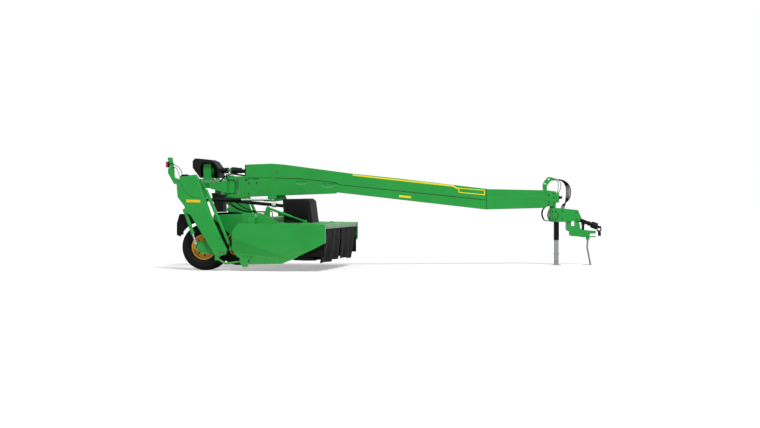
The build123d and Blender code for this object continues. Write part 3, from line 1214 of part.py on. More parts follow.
def all_nodes():
    lower_hanger = lower_gearbox() - main_beam()
    nodes = {
        "main_beam": [main_beam()],
        "legs": twin(leg_right()),
        "lamp_brackets": twin(lamp_bracket() - leg_right()),
        "tail_lamps": twin(tail_lamp()),
        "upper_gearbox": [upper_gearbox()],
        "upper_guard": [upper_guard()],
        "lower_gearbox": [lower_hanger],
        "lower_guard": [lower_guard() - lower_hanger],
        "lower_shaft": [lower_shaft() - lower_guard() - header_gearbox()],
        "mudguards": twin(mudguard()),
        "float_struts": twin(float_strut()),
        "lower_links": twin(lower_link()),
        "header_sides": twin(header_side()),
        "end_flaps": twin(end_flap()),
        "header_deck": [header_deck()],
        "rear_hood": [rear_hood()],
        "header_frame": [header_frame()],
        "bell_guard": [bell_guard()],
        "header_gearbox": [header_gearbox()],
        "cutterbar": [cutterbar()],
        "conditioner_rotor": [rotor()],
        "wheel_arm_right": [wheel_arm()],
        "wheel_arm_left": [left_of(wheel_arm())],
        "tyre_right": [at_wheel(tyre(), -1)],
        "tyre_left": [at_wheel(tyre(), 1)],
        "rim_right": [at_wheel(rim(), -1)],
        "rim_left": [at_wheel(rim(), 1)],
        "lift_barrel_right": [lift_barrel()],
        "lift_barrel_left": [left_of(lift_barrel())],
        "lift_rod_right": [lift_rod()],
        "lift_rod_left": [left_of(lift_rod())],
        "front_cover_right": [front_cover()],
        "front_cover_left": [left_of(front_cover())],
        "curtain_right": [curtain()],
        "curtain_left": [left_of(curtain())],
        "swing_barrel": [swing_barrel()],
        "swing_rod": [swing_rod()],
    }
    for number in range(DISC_COUNT):
        nodes[f"disc_{number + 1}"] = [disc(number)]
    nodes["hitch_hoses"] = [on_tongue(hose) for hose in hitch_hoses()]
    nodes["upper_shaft"] = [on_tongue(upper_shaft()), on_tongue(output_stub())]
    on_the_tongue = {
        "tongue_fork": tongue_fork(),
        "tongue_beam": tongue_beam(),
        "tongue_channel": tongue_channel(),
        "hose_bracket": hose_bracket() - tongue_beam(),
        "hitch_head": hitch_head(),
        "drawbar": drawbar(),
        "pto_shaft": pto_shaft(),
        "pto_joint": pto_joint(),
        "pto_rest": pto_rest(),
        "jack_tube": jack_tube(),
        "jack_leg": jack_leg(),
        "parking_stand": parking_stand(),
    }
    for name, solid in on_the_tongue.items():
        nodes[name] = [on_tongue(solid)]
    return nodes


def row_shift(nodes):
    """Move that puts the middle of the bounding box's bottom at the origin."""
    boxes = [solid.bounding_box() for solids in nodes.values() for solid in solids]
    low = [min(box.min.X for box in boxes), min(box.min.Y for box in boxes), min(box.min.Z for box in boxes)]
    high = [max(box.max.X for box in boxes), max(box.max.Y for box in boxes)]
    return Vector(-(low[0] + high[0]) / 2, -(low[1] + high[1]) / 2, -low[2])


def write_steps(nodes, shift):
    os.makedirs("parts", exist_ok=True)
    for name, solids in nodes.items():
        moved = [Pos(shift) * solid for solid in solids]
        shape = moved[0] if len(moved) == 1 else Compound(moved)
        export_step(shape, f"parts/{name}.step")


if __name__ == "__main__":
    model = all_nodes()
    write_steps(model, row_shift(model))
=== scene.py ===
from math import cos, pi, radians, sin, tau

import bmesh
import bpy
from mathutils import Matrix, Vector


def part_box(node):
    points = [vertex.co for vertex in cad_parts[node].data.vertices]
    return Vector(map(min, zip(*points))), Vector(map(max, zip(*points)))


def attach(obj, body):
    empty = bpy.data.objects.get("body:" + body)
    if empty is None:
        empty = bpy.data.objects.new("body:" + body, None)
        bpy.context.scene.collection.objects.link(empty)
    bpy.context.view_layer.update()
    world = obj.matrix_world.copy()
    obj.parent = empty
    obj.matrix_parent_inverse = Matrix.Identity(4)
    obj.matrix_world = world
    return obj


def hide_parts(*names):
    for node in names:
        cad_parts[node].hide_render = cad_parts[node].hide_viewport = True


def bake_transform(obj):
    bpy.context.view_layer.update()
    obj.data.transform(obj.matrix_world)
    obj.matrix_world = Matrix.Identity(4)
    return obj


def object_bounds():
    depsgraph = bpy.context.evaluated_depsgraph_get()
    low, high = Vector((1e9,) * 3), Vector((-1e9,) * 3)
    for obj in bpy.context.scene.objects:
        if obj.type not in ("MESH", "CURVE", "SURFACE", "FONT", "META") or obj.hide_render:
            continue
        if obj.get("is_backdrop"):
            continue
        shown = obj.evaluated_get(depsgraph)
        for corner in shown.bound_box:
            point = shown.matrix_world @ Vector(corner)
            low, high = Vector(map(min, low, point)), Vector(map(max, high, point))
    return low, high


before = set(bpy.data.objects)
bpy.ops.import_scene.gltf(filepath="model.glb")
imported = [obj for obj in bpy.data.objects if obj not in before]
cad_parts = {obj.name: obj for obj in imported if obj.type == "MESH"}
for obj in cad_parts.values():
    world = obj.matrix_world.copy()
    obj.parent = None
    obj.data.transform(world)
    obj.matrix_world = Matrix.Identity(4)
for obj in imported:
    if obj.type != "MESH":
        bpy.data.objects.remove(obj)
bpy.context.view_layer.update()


# Leg panels, main beam, tongue and header shields
# Folded and welded sheet steel, sprayed with gloss green enamel and baked. The enamel is
# even in colour, with a faint orange peel and a little dust that lies low on the machine.
# Folded and cut edges carry a painted highlight.

ROAD_DUST = "8E8873"
TONE_MM = 435
GRIT_MM = 26.3
PEEL_MM = 9.09
EDGE_HIGHLIGHT_WIDTH = 0.005


def linear(colour):
    """An sRGB hex colour as linear red, green, blue and alpha."""
    parts = [int(colour[i:i + 2], 16) / 255 for i in (0, 2, 4)]
    return (*[v / 12.92 if v <= 0.04045 else ((v + 0.055) / 1.055) ** 2.4 for v in parts], 1)


def add_node(tree, kind, inputs=(), **settings):
    """Adds one node with its settings, and gives its inputs their values or links."""
    node = tree.nodes.new(kind)
    for name, value in settings.items():
        setattr(node, name, value)
    for name, value in dict(inputs).items():
        if isinstance(value, bpy.types.NodeSocket):
            tree.links.new(value, node.inputs[name])
        else:
            node.inputs[name].default_value = value
    return node


def new_finish(name, **shader_values):
    """A material with its shader, and the coordinates that its patterns read."""
    material = bpy.data.materials.new(name)
    material.use_nodes = True
    tree = material.node_tree
    tree.nodes.clear()
    place = add_node(tree, "ShaderNodeTexCoord").outputs["Object"]
    shader = add_node(tree, "ShaderNodeBsdfPrincipled", shader_values)
    output = add_node(tree, "ShaderNodeOutputMaterial")
    tree.links.new(shader.outputs[0], output.inputs["Surface"])
    return material, tree, shader, place


def sprayed_enamel(name, colour, shade, edge, dust_top=0.5, roughness=0.3, peel=0.12):
    """Gloss enamel with slow changes of tone, orange peel, and road dust below a height in metres.

    The edge colour is a painted highlight along folded and cut edges.
    """
    material, tree, shader, place = new_finish(name, **{"Specular IOR Level": 0.32})
    tone = add_node(tree, "ShaderNodeTexNoise", {
        "Vector": place, "Scale": 1000 / TONE_MM, "Detail": 3.0, "Roughness": 0.55})
    paint = add_node(tree, "ShaderNodeMix", {
        0: tone.outputs["Fac"], 6: linear(shade), 7: linear(colour)}, data_type="RGBA", clamp_factor=True)
    height = add_node(tree, "ShaderNodeSeparateXYZ", {0: place})
    low = add_node(tree, "ShaderNodeMapRange", {
        0: height.outputs["Z"], 1: dust_top, 2: 0.05, 3: 0.0, 4: 0.5})
    grit = add_node(tree, "ShaderNodeTexNoise", {
        "Vector": place, "Scale": 1000 / GRIT_MM, "Detail": 6.0, "Roughness": 0.7})
    patch = add_node(tree, "ShaderNodeMapRange", {0: grit.outputs["Fac"], 1: 0.45, 2: 0.75, 3: 0.0, 4: 1.0})
    film = add_node(tree, "ShaderNodeMath", {0: low.outputs[0], 1: patch.outputs[0]}, operation="MULTIPLY")
    dusty = add_node(tree, "ShaderNodeMix", {
        0: film.outputs[0], 6: paint.outputs[2], 7: linear(ROAD_DUST)}, data_type="RGBA")
    # A painted highlight along folded and cut edges, about 5 mm wide, where they catch the light
    rounded = add_node(tree, "ShaderNodeBevel", {"Radius": EDGE_HIGHLIGHT_WIDTH}, samples=4)
    flat = add_node(tree, "ShaderNodeNewGeometry")
    along_edge = add_node(tree, "ShaderNodeVectorMath", {
        0: rounded.outputs[0], 1: flat.outputs["Normal"]}, operation="DOT_PRODUCT")
    edge_highlight_mask = add_node(tree, "ShaderNodeMapRange", {
        0: along_edge.outputs["Value"], 1: 0.995, 2: 0.85, 3: 0.0, 4: 0.6})
    edge_highlighted = add_node(tree, "ShaderNodeMix", {
        0: edge_highlight_mask.outputs[0], 6: dusty.outputs[2], 7: linear(edge)}, data_type="RGBA")
    tree.links.new(edge_highlighted.outputs[2], shader.inputs["Base Color"])
    gloss = add_node(tree, "ShaderNodeMapRange", {
        0: film.outputs[0], 1: 0.0, 2: 1.0, 3: roughness, 4: 0.85})
    tree.links.new(gloss.outputs[0], shader.inputs["Roughness"])
    # Orange peel is about 3 mm across, drawn at 9 mm so that it shows
    waves = add_node(tree, "ShaderNodeTexNoise", {"Vector": place, "Scale": 1000 / PEEL_MM, "Detail": 1.0})
    bump = add_node(tree, "ShaderNodeBump", {
        "Height": waves.outputs["Fac"], "Strength": peel, "Distance": 0.001})
    tree.links.new(bump.outputs[0], shader.inputs["Normal"])
    return material


def dress(material, *nodes):
    """Gives CAD nodes their finish."""
    for name in nodes:
        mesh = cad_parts[name].data
        mesh.materials.clear()
        mesh.materials.append(material)


# Baked gloss enamel: an even, saturated green with soft highlights, and a painted highlight along folded
# edges
green_enamel = sprayed_enamel("green_enamel", "22A13F", "198A35", "6CC583")
dress(green_enamel, "main_beam", "legs", "lamp_brackets", "wheel_arm_right", "wheel_arm_left",
      "header_sides", "header_deck", "rear_hood", "header_frame", "front_cover_right", "front_cover_left",
      "tongue_fork", "tongue_beam", "tongue_channel", "hose_bracket", "hitch_head", "drawbar",
      "lower_links", "float_struts", "lift_barrel_right", "lift_barrel_left",
      "upper_gearbox", "lower_gearbox", "header_gearbox")


# Guards, shaft tubes, mudguards and jack tube
# Guards and shaft tubes are moulded in black polyethylene; the rest is steel with a textured
# black powder coat. Both are dull, with an even grain.

SCUFF_MM = 200


def grained_black(name, colour, scuff, roughness, grain_mm, depth):
    """Plastic, rubber or powder coat: paler scuffs, and a grain drawn coarse enough to show."""
    material, tree, shader, place = new_finish(name, **{"Specular IOR Level": 0.12})
    grain = add_node(tree, "ShaderNodeTexNoise", {
        "Vector": place, "Scale": 1000 / grain_mm, "Detail": 3.0, "Roughness": 0.6})
    scuffs = add_node(tree, "ShaderNodeTexNoise", {
        "Vector": place, "Scale": 1000 / SCUFF_MM, "Detail": 5.0, "Roughness": 0.65})
    worn = add_node(tree, "ShaderNodeMapRange", {0: scuffs.outputs["Fac"], 1: 0.4, 2: 0.8, 3: 0.0, 4: 0.5})
    base = add_node(tree, "ShaderNodeMix", {
        0: worn.outputs[0], 6: linear(colour), 7: linear(scuff)}, data_type="RGBA")
    tree.links.new(base.outputs[2], shader.inputs["Base Color"])
    dull = add_node(tree, "ShaderNodeMapRange", {
        0: scuffs.outputs["Fac"], 1: 0.3, 2: 0.8, 3: roughness, 4: roughness + 0.2})
    tree.links.new(dull.outputs[0], shader.inputs["Roughness"])
    bump = add_node(tree, "ShaderNodeBump", {
        "Height": grain.outputs["Fac"], "Strength": depth, "Distance": 0.001})
    tree.links.new(bump.outputs[0], shader.inputs["Normal"])
    return material


# Moulded polyethylene: dull charcoal with a fine pebble and pale scuffs
moulded_guard = grained_black("black_polyethylene", "141515", "26282A", 0.5, 6, 0.35)
# Powder coat on steel: a deeper black with a soft satin sheen
powder_coat = grained_black("black_powder_coat", "050605", "121312", 0.48, 4, 0.25)
dress(moulded_guard, "bell_guard", "upper_guard", "lower_guard", "lower_shaft", "upper_shaft", "pto_shaft")
dress(powder_coat, "mudguards", "jack_tube", "pto_rest", "swing_barrel", "cutterbar")


# Leg bolts and reflectors
# Zinc-plated hexagon bolts with washers hold each leg panel at its foot and under its lamp
# bracket. The yellow strip is plain reflective tape, stuck to the outer face.

LEG_REAR = 0.603
LEG_FACE = 1492
TONGUE_SWING = radians(20)
leg_low, leg_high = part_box("legs")
# The floor under the tongue's pivot, which stands that far ahead of the legs' rear edge
ground = Vector((leg_low[0] + LEG_REAR, (leg_low[1] + leg_high[1]) / 2, 0))
swing = Matrix.Rotation(TONGUE_SWING, 3, "Z")
tongue_along = swing @ Vector((1, 0, 0))
tongue_across = swing @ Vector((0, 1, 0))


def machine(x, y, z):
    """A place given in millimetres from the floor under the tongue's pivot."""
    return ground + Vector((x, y, z)) / 1000


def on_tongue(along, across, z):
    """A place given in millimetres along and across the swung tongue."""
    return ground + swing @ Vector((along, across, z)) / 1000


def finished(name, work, material, body, sharp=32):
    """A piece from its bmesh: merged, facing outwards, smooth up to that angle, riding on a body."""
    bmesh.ops.remove_doubles(work, verts=work.verts, dist=1e-5)
    bmesh.ops.recalc_face_normals(work, faces=work.faces)
    mesh = bpy.data.meshes.new(name)
    work.to_mesh(mesh)
    work.free()
    mesh.materials.append(material)
    for face in mesh.polygons:
        face.use_smooth = True
    mesh.set_sharp_from_angle(angle=radians(sharp))
    piece = bpy.data.objects.new(name, mesh)
    bpy.context.scene.collection.objects.link(piece)
    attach(piece, body)
    return piece


def turned(work, start, direction, profile, steps=24):
    """A turned shape: (distance, radius) pairs in metres, spun round a line from its start."""
    turn = direction.to_track_quat("Z", "Y").to_matrix()
    line = [work.verts.new(start + turn @ Vector((radius, 0, distance))) for distance, radius in profile]
    edges = [work.edges.new(pair) for pair in zip(line, line[1:])]
    bmesh.ops.spin(work, geom=line + edges, cent=start, axis=turn @ Vector((0, 0, 1)), angle=tau,
                   steps=steps, use_merge=True)


def slab(work, corners, depth, soften=0.0):
    """A plate from its corners, as thick as the depth vector, with its outer edges rounded."""
    face = work.faces.new([work.verts.new(corner) for corner in corners])
    grown = bmesh.ops.extrude_face_region(work, geom=[face], use_keep_orig=True)["geom"]
    raised = [part for part in grown if isinstance(part, bmesh.types.BMVert)]
    bmesh.ops.translate(work, verts=raised, vec=depth)
    if soften:
        top = [part for part in grown if isinstance(part, bmesh.types.BMFace)]
        edges = list({edge for part in top for edge in part.edges})
        bmesh.ops.bevel(work, geom=edges, offset=soften, offset_type="OFFSET", affect="EDGES",
                        segments=2, profile=0.5, material=-1)


def hex_bolts(name, places, across, material, body, head_share=0.6):
    """Hexagon heads on washers; each place is a point on the plate and the way out of it."""
    work = bmesh.new()
    corner = across / 2 / cos(pi / 6)
    washer, head = 0.1 * across, head_share * across
    for point, outward in places:
        turned(work, point, outward,
               [(0, 0), (0, across * 0.72), (washer, across * 0.7), (washer, 0)], steps=14)
        turned(work, point + outward * washer, outward,
               [(0, 0), (0, corner), (head * 0.8, corner), (head, corner * 0.8), (head, 0)], steps=6)
    return finished(name, work, material, body)


def plated(name, colour, dark, roughness, grain_mm, metallic):
    """Bare or plated metal with patches of a second tone."""
    material, tree, shader, place = new_finish(name, Metallic=metallic)
    spangle = add_node(tree, "ShaderNodeTexNoise", {
        "Vector": place, "Scale": 1000 / grain_mm, "Detail": 6.0, "Roughness": 0.65})
    tone = add_node(tree, "ShaderNodeMapRange", {0: spangle.outputs["Fac"], 1: 0.35, 2: 0.7, 3: 0.0, 4: 1.0})
    base = add_node(tree, "ShaderNodeMix", {
        0: tone.outputs[0], 6: linear(colour), 7: linear(dark)}, data_type="RGBA")
    tree.links.new(base.outputs[2], shader.inputs["Base Color"])
    rough = add_node(tree, "ShaderNodeMapRange", {
        0: spangle.outputs["Fac"], 1: 0.3, 2: 0.7, 3: roughness, 4: roughness + 0.15})
    tree.links.new(rough.outputs[0], shader.inputs["Roughness"])
    return material


# Zinc plating that has dulled: dark grey-brown heads with small soft highlights
bolt_zinc = plated("zinc_plated_bolts", "585A54", "3C3E39", 0.45, 8, 0.6)
LEG_BOLT = 0.022
LEG_BOLTS = ((214, 586), (288, 516), (270, 337), (210, 340), (-560, 1610), (-505, 1545))
leg_bolts = []
for side in (-1, 1):
    out = Vector((0, side, 0))
    leg_bolts += [(machine(x, side * LEG_FACE, z), out) for x, z in LEG_BOLTS]
hex_bolts("leg_bolts", leg_bolts, LEG_BOLT, bolt_zinc, "carrier", head_share=0.22)

# Beaded reflective tape: flat warm yellow with a slightly pebbled face
reflective_tape = sprayed_enamel(
    "yellow_reflective_tape", "F2C318", "E8B410", "F6D050", dust_top=0.1, roughness=0.4, peel=0.5)
TAPE_THICKNESS = 0.002
TAPE_CORNERS = ((-414, 1286), (-155, 1280), (-155, 1232), (-414, 1238))
work = bmesh.new()
for side in (-1, 1):
    corners = [machine(x, side * LEG_FACE, z) for x, z in TAPE_CORNERS]
    slab(work, corners, Vector((0, side * TAPE_THICKNESS, 0)))
finished("leg_reflectors", work, reflective_tape, "carrier")


# Seams of the round end plates and the latches on top of the legs
# The end plate's edge is drawn as a rounded bead, nearly black as painted shade; the latch is a
# bent plate, coated black, that is welded to the top edge.

PLATE_X, PLATE_Z = -190, 1640
PLATE_RADIUS = 322
SEAM = [(PLATE_X + PLATE_RADIUS * cos(radians(angle)), PLATE_Z + PLATE_RADIUS * sin(radians(angle)))
        for angle in range(184, 276, 15)]
SEAM_STAND = 3
SEAM_BEAD_RADIUS = 0.0045
# Painted shade for seams, slots and beads: the same green, nearly black
painted_shade_green = sprayed_enamel(
    "green_enamel_painted_seam_shade", "0B4A20", "083A18", "0B4A20", dust_top=0.3, roughness=0.5)


def pipe(name, points, radius, material, body=None, smooth=3, sides=3):
    """A round bar or hose along a smooth line near its points, riding on a body if one is given."""
    curve = bpy.data.curves.new(name, "CURVE")
    curve.dimensions = "3D"
    spline = curve.splines.new("NURBS")
    spline.points.add(len(points) - 1)
    for knot, point in zip(spline.points, points):
        knot.co = (*point, 1)
    spline.order_u = smooth
    spline.use_endpoint_u = True
    spline.resolution_u = 8
    curve.bevel_depth = radius
    curve.bevel_resolution = sides
    curve.use_fill_caps = True
    holder = bpy.data.objects.new(name + "_line", curve)
    mesh = bpy.data.meshes.new_from_object(holder)
    bpy.data.objects.remove(holder)
    bpy.data.curves.remove(curve)
    mesh.materials.clear()
    mesh.materials.append(material)
    for face in mesh.polygons:
        face.use_smooth = True
    piece = bpy.data.objects.new(name, mesh)
    bpy.context.scene.collection.objects.link(piece)
    if body:
        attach(piece, body)
    return piece


# Each end plate's seam is a bead in painted shade, nearly black
for side, name in ((-1, "right"), (1, "left")):
    seam = [machine(x, side * (LEG_FACE + SEAM_STAND), z) for x, z in SEAM]
    pipe(f"leg_seam_{name}", seam, SEAM_BEAD_RADIUS, painted_shade_green, "carrier")

LATCH_FACE = 1476
LATCH_THICKNESS = 0.012
LATCH = ((-540, 1700), (-500, 1738), (-400, 1742), (-352, 1722), (-352, 1710))
work = bmesh.new()
for side in (-1, 1):
    corners = [machine(x, side * LATCH_FACE, z) for x, z in LATCH]
    slab(work, corners, Vector((0, side * LATCH_THICKNESS, 0)), 0.002)
finished("leg_latches", work, powder_coat, "carrier")


# Tail lamps and their wiring
# A red acrylic lens with fine ribs, in a black tray that is bolted to the bracket's edge. Two
# black leads hang from each lamp and enter the leg's top.

RIB_PITCH = 0.00785
# Moulded acrylic: deep glossy red, with ribs that break the highlight into lines
lens, tree, shader, place = new_finish(
    "red_acrylic", **{"Base Color": linear("C81E1A"), "Roughness": 0.15, "Coat Weight": 0.4})
ribs = add_node(tree, "ShaderNodeTexWave", {
    "Vector": place, "Scale": pi / 10 / RIB_PITCH}, bands_direction="Z")
bump = add_node(tree, "ShaderNodeBump", {"Height": ribs.outputs["Fac"], "Strength": 0.3, "Distance": 0.002})
tree.links.new(bump.outputs[0], shader.inputs["Normal"])
dress(lens, "tail_lamps")

LAMP_WIDTH = 0.096
LAMP_TRAY = 0.002
TRAY_DEPTH = 0.016
lamp_low, lamp_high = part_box("tail_lamps")
x_low, x_high = lamp_high[0] - TRAY_DEPTH, lamp_high[0] + LAMP_TRAY
z_low, z_high = lamp_low[2] - LAMP_TRAY, lamp_high[2] + LAMP_TRAY
work = bmesh.new()
for inner in (lamp_low[1], lamp_high[1] - LAMP_WIDTH):
    y_low, y_high = inner - LAMP_TRAY, inner + LAMP_WIDTH + LAMP_TRAY
    corners = [(x_low, y, z) for y, z in ((y_low, z_low), (y_high, z_low), (y_high, z_high), (y_low, z_high))]
    slab(work, corners, Vector((x_high - x_low, 0, 0)), 0.005)
finished("lamp_trays", work, moulded_guard, "carrier")

WIRE_RADIUS = 0.006
WIRE = ((-762, 1450, 1905), (-700, 1460, 1955), (-648, 1462, 1915), (-574, 1464, 1880), (-512, 1466, 1800),
        (-497, 1462, 1700), (-490, 1455, 1640))
LEAD_RADIUS = 0.005
LEAD = ((-700, 1452, 1850), (-640, 1470, 1885), (-590, 1470, 1830), (-560, 1462, 1740), (-540, 1455, 1650))
for side, name in ((-1, "right"), (1, "left")):
    wire = [machine(x, side * y, z) for x, y, z in WIRE]
    pipe(f"lamp_wire_{name}", wire, WIRE_RADIUS, moulded_guard, "carrier")
    lead = [machine(x, side * y, z) for x, y, z in LEAD]
    pipe(f"lamp_lead_{name}", lead, LEAD_RADIUS, moulded_guard, "carrier")


# Cylinder rods, discs, jack leg, stand and drive joint
# The rods are hard chromed; discs, knives and the rotor are hardened steel, scoured bright by
# the crop; the jack leg and the stand are zinc dipped; the drive joint is forged.

# Hard chrome on ground steel: a cool, bright near mirror
chrome = plated("hard_chrome", "C9CCCE", "B4B8BB", 0.08, 60, 1.0)
# Hardened steel scoured by the crop: mid grey with brown patches
scoured_steel = plated("scoured_steel", "6D6A64", "4A443C", 0.35, 25, 1.0)
# Weathered zinc dip: pale grey, mottled, with hardly any shine
dull_zinc = plated("dull_zinc", "9FA3A2", "858988", 0.45, 18, 0.6)
# Oiled forged steel: nearly black with a soft sheen
forged_black = plated("forged_black_steel", "2A2A28", "1A1A19", 0.4, 10, 0.8)
dress(chrome, "lift_rod_right", "lift_rod_left", "swing_rod")
dress(scoured_steel, "conditioner_rotor", *[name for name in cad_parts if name.startswith("disc_")])
dress(dull_zinc, "jack_leg", "parking_stand")
dress(forged_black, "pto_joint")


# Pin and collar of the jack's leg
# A zinc-plated pin with a turned head at both ends goes through the leg, and a square collar
# sits lower down.

JACK_PIN_LEVEL = 222
JACK_COLLAR_LEVEL = 72
PIN_HALF = 0.066
PIN = [(0, 0), (0.002, 0.007), (0.012, 0.008), (0.014, 0.006), (0.118, 0.006), (0.120, 0.009), (0.130, 0.009),
       (0.132, 0.007), (0.132, 0)]
JACK_COLLAR = [(0, 0.0455), (0, 0.052), (0.012, 0.052), (0.012, 0.0455)]
jack_low, jack_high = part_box("jack_leg")
jack_along = ((Vector(jack_low) + Vector(jack_high)) / 2 - ground).to_2d().length * 1000
work = bmesh.new()
turned(work, on_tongue(jack_along, 0, JACK_PIN_LEVEL) - tongue_along * PIN_HALF, tongue_along, PIN, 16)
turned(work, on_tongue(jack_along, 0, JACK_COLLAR_LEVEL), Vector((0, 0, 1)), JACK_COLLAR, 4)
finished("jack_pin", work, dull_zinc, "jack_leg")


# Tyres
# Flotation tyres in black rubber, moulded in one piece: a rounded casing with two fine rings
# on each sidewall, five rows of raised tread blocks and one more on each shoulder.

# Moulded rubber: flat near-black with a fine grain and greyer scuffs
tyre_rubber = grained_black("tyre_rubber", "0E0E0E", "1B1A19", 0.6, 8, 0.4)
TREAD_STEPS = 56
TREAD_DEPTH = 0.011
TREAD_RADIUS = 0.388
TREAD_HALF = 0.165
GROOVE_HALF = 0.0045
BLOCK_TAPER = 0.0016
CROWN_RADIUS = 0.37
CROWN_DEPTH = 0.03
CHEVRON = 0.9
# Half of the casing, from the middle of the tread to the bead: (across from the middle, radius)
TYRE_HALF = [
    (0.033, 0.4140), (0.098, 0.4125), (0.150, 0.4010), (0.172, 0.3850), (0.184, 0.3600),
    (0.188, 0.3450), (0.1895, 0.3420), (0.1895, 0.3360), (0.1885, 0.3330), (0.1880, 0.3050),
    (0.1892, 0.3020), (0.1892, 0.2970), (0.1870, 0.2940), (0.1760, 0.2580), (0.1560, 0.2340),
    (0.1450, 0.2305), (0.1450, 0.2165),
]
for side, name in ((1, "right"), (-1, "left")):
    low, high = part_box(f"tyre_{name}")
    centre = (Vector(low) + Vector(high)) / 2
    section = [(-y, radius) for y, radius in reversed(TYRE_HALF)] + TYRE_HALF
    work = bmesh.new()
    turned(work, centre, Vector((0, 1, 0)), section + section[:1], steps=TREAD_STEPS)
    bmesh.ops.remove_doubles(work, verts=work.verts, dist=1e-5)
    bmesh.ops.recalc_face_normals(work, faces=work.faces)
    blocks = []
    for face in work.faces:
        offset = face.calc_center_median() - centre
        if Vector((offset.x, offset.z)).length > TREAD_RADIUS and abs(offset.y) < TREAD_HALF:
            blocks.append(face)
    bmesh.ops.inset_individual(work, faces=blocks, thickness=GROOVE_HALF, use_even_offset=True)
    bmesh.ops.inset_individual(
        work, faces=blocks, thickness=BLOCK_TAPER, depth=TREAD_DEPTH, use_even_offset=True)
    # The rows are swept back towards the shoulders, so the blocks stand in a chevron
    for vert in work.verts:
        offset = vert.co - centre
        radius = Vector((offset.x, offset.z)).length
        crown = min(max((radius - CROWN_RADIUS) / CROWN_DEPTH, 0), 1)
        turn = Matrix.Rotation(CHEVRON * crown * abs(offset.y) * side, 3, "Y")
        vert.co = centre + turn @ offset
    piece = finished(f"flotation_tyre_{name}", work, tyre_rubber, f"wheel_{name}")
    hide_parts(f"tyre_{name}")


# Rims, wheel nuts and dust plates
# Pressed steel rims in yellow enamel with zinc-plated wheel nuts round a pressed cap, and a
# black dust plate behind their hand holes.

# Gloss enamel on pressed steel: a warm golden yellow, dusty low down
yellow_enamel = sprayed_enamel(
    "yellow_enamel", "EBB02E", "D69B22", "F3CB6A", dust_top=0.45, roughness=0.34)
dress(yellow_enamel, "rim_right", "rim_left")
WHEEL_NUT = 0.026
NUTS = 6
NUT_CIRCLE = 0.080
NUT_FACE = 0.129
DUST_PLATE_FACE = 0.080
DUST_PLATE = [(0, 0), (0, 0.19), (-0.006, 0.202), (-0.002, 0.204), (0.006, 0.19), (0.006, 0)]
for side, name in ((-1, "right"), (1, "left")):
    low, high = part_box(f"rim_{name}")
    centre = (Vector(low) + Vector(high)) / 2
    out = Vector((0, side, 0))
    nuts = []
    for step in range(NUTS):
        angle = tau * step / NUTS
        spoke = Vector((NUT_CIRCLE * cos(angle), 0, NUT_CIRCLE * sin(angle)))
        nuts.append((centre + out * NUT_FACE + spoke, out))
    hex_bolts(f"wheel_nuts_{name}", nuts, WHEEL_NUT, bolt_zinc, f"wheel_{name}")
    work = bmesh.new()
    turned(work, centre + out * DUST_PLATE_FACE, out, DUST_PLATE, 48)
    finished(f"dust_plate_{name}", work, forged_black, f"wheel_{name}")


# Front curtains and their clamping strips
# Two overlapping rubber flaps a side, clamped under the cover's lip by a galvanised strip
# with bolts. They hang in soft vertical folds and are swept back a little at the foot.

# Pressed rubber sheet: flat near-black with a dusty bloom and no clear highlight
curtain_rubber = grained_black("curtain_rubber", "0B0B0A", "191917", 0.66, 9, 0.4)
dress(curtain_rubber, "end_flaps")
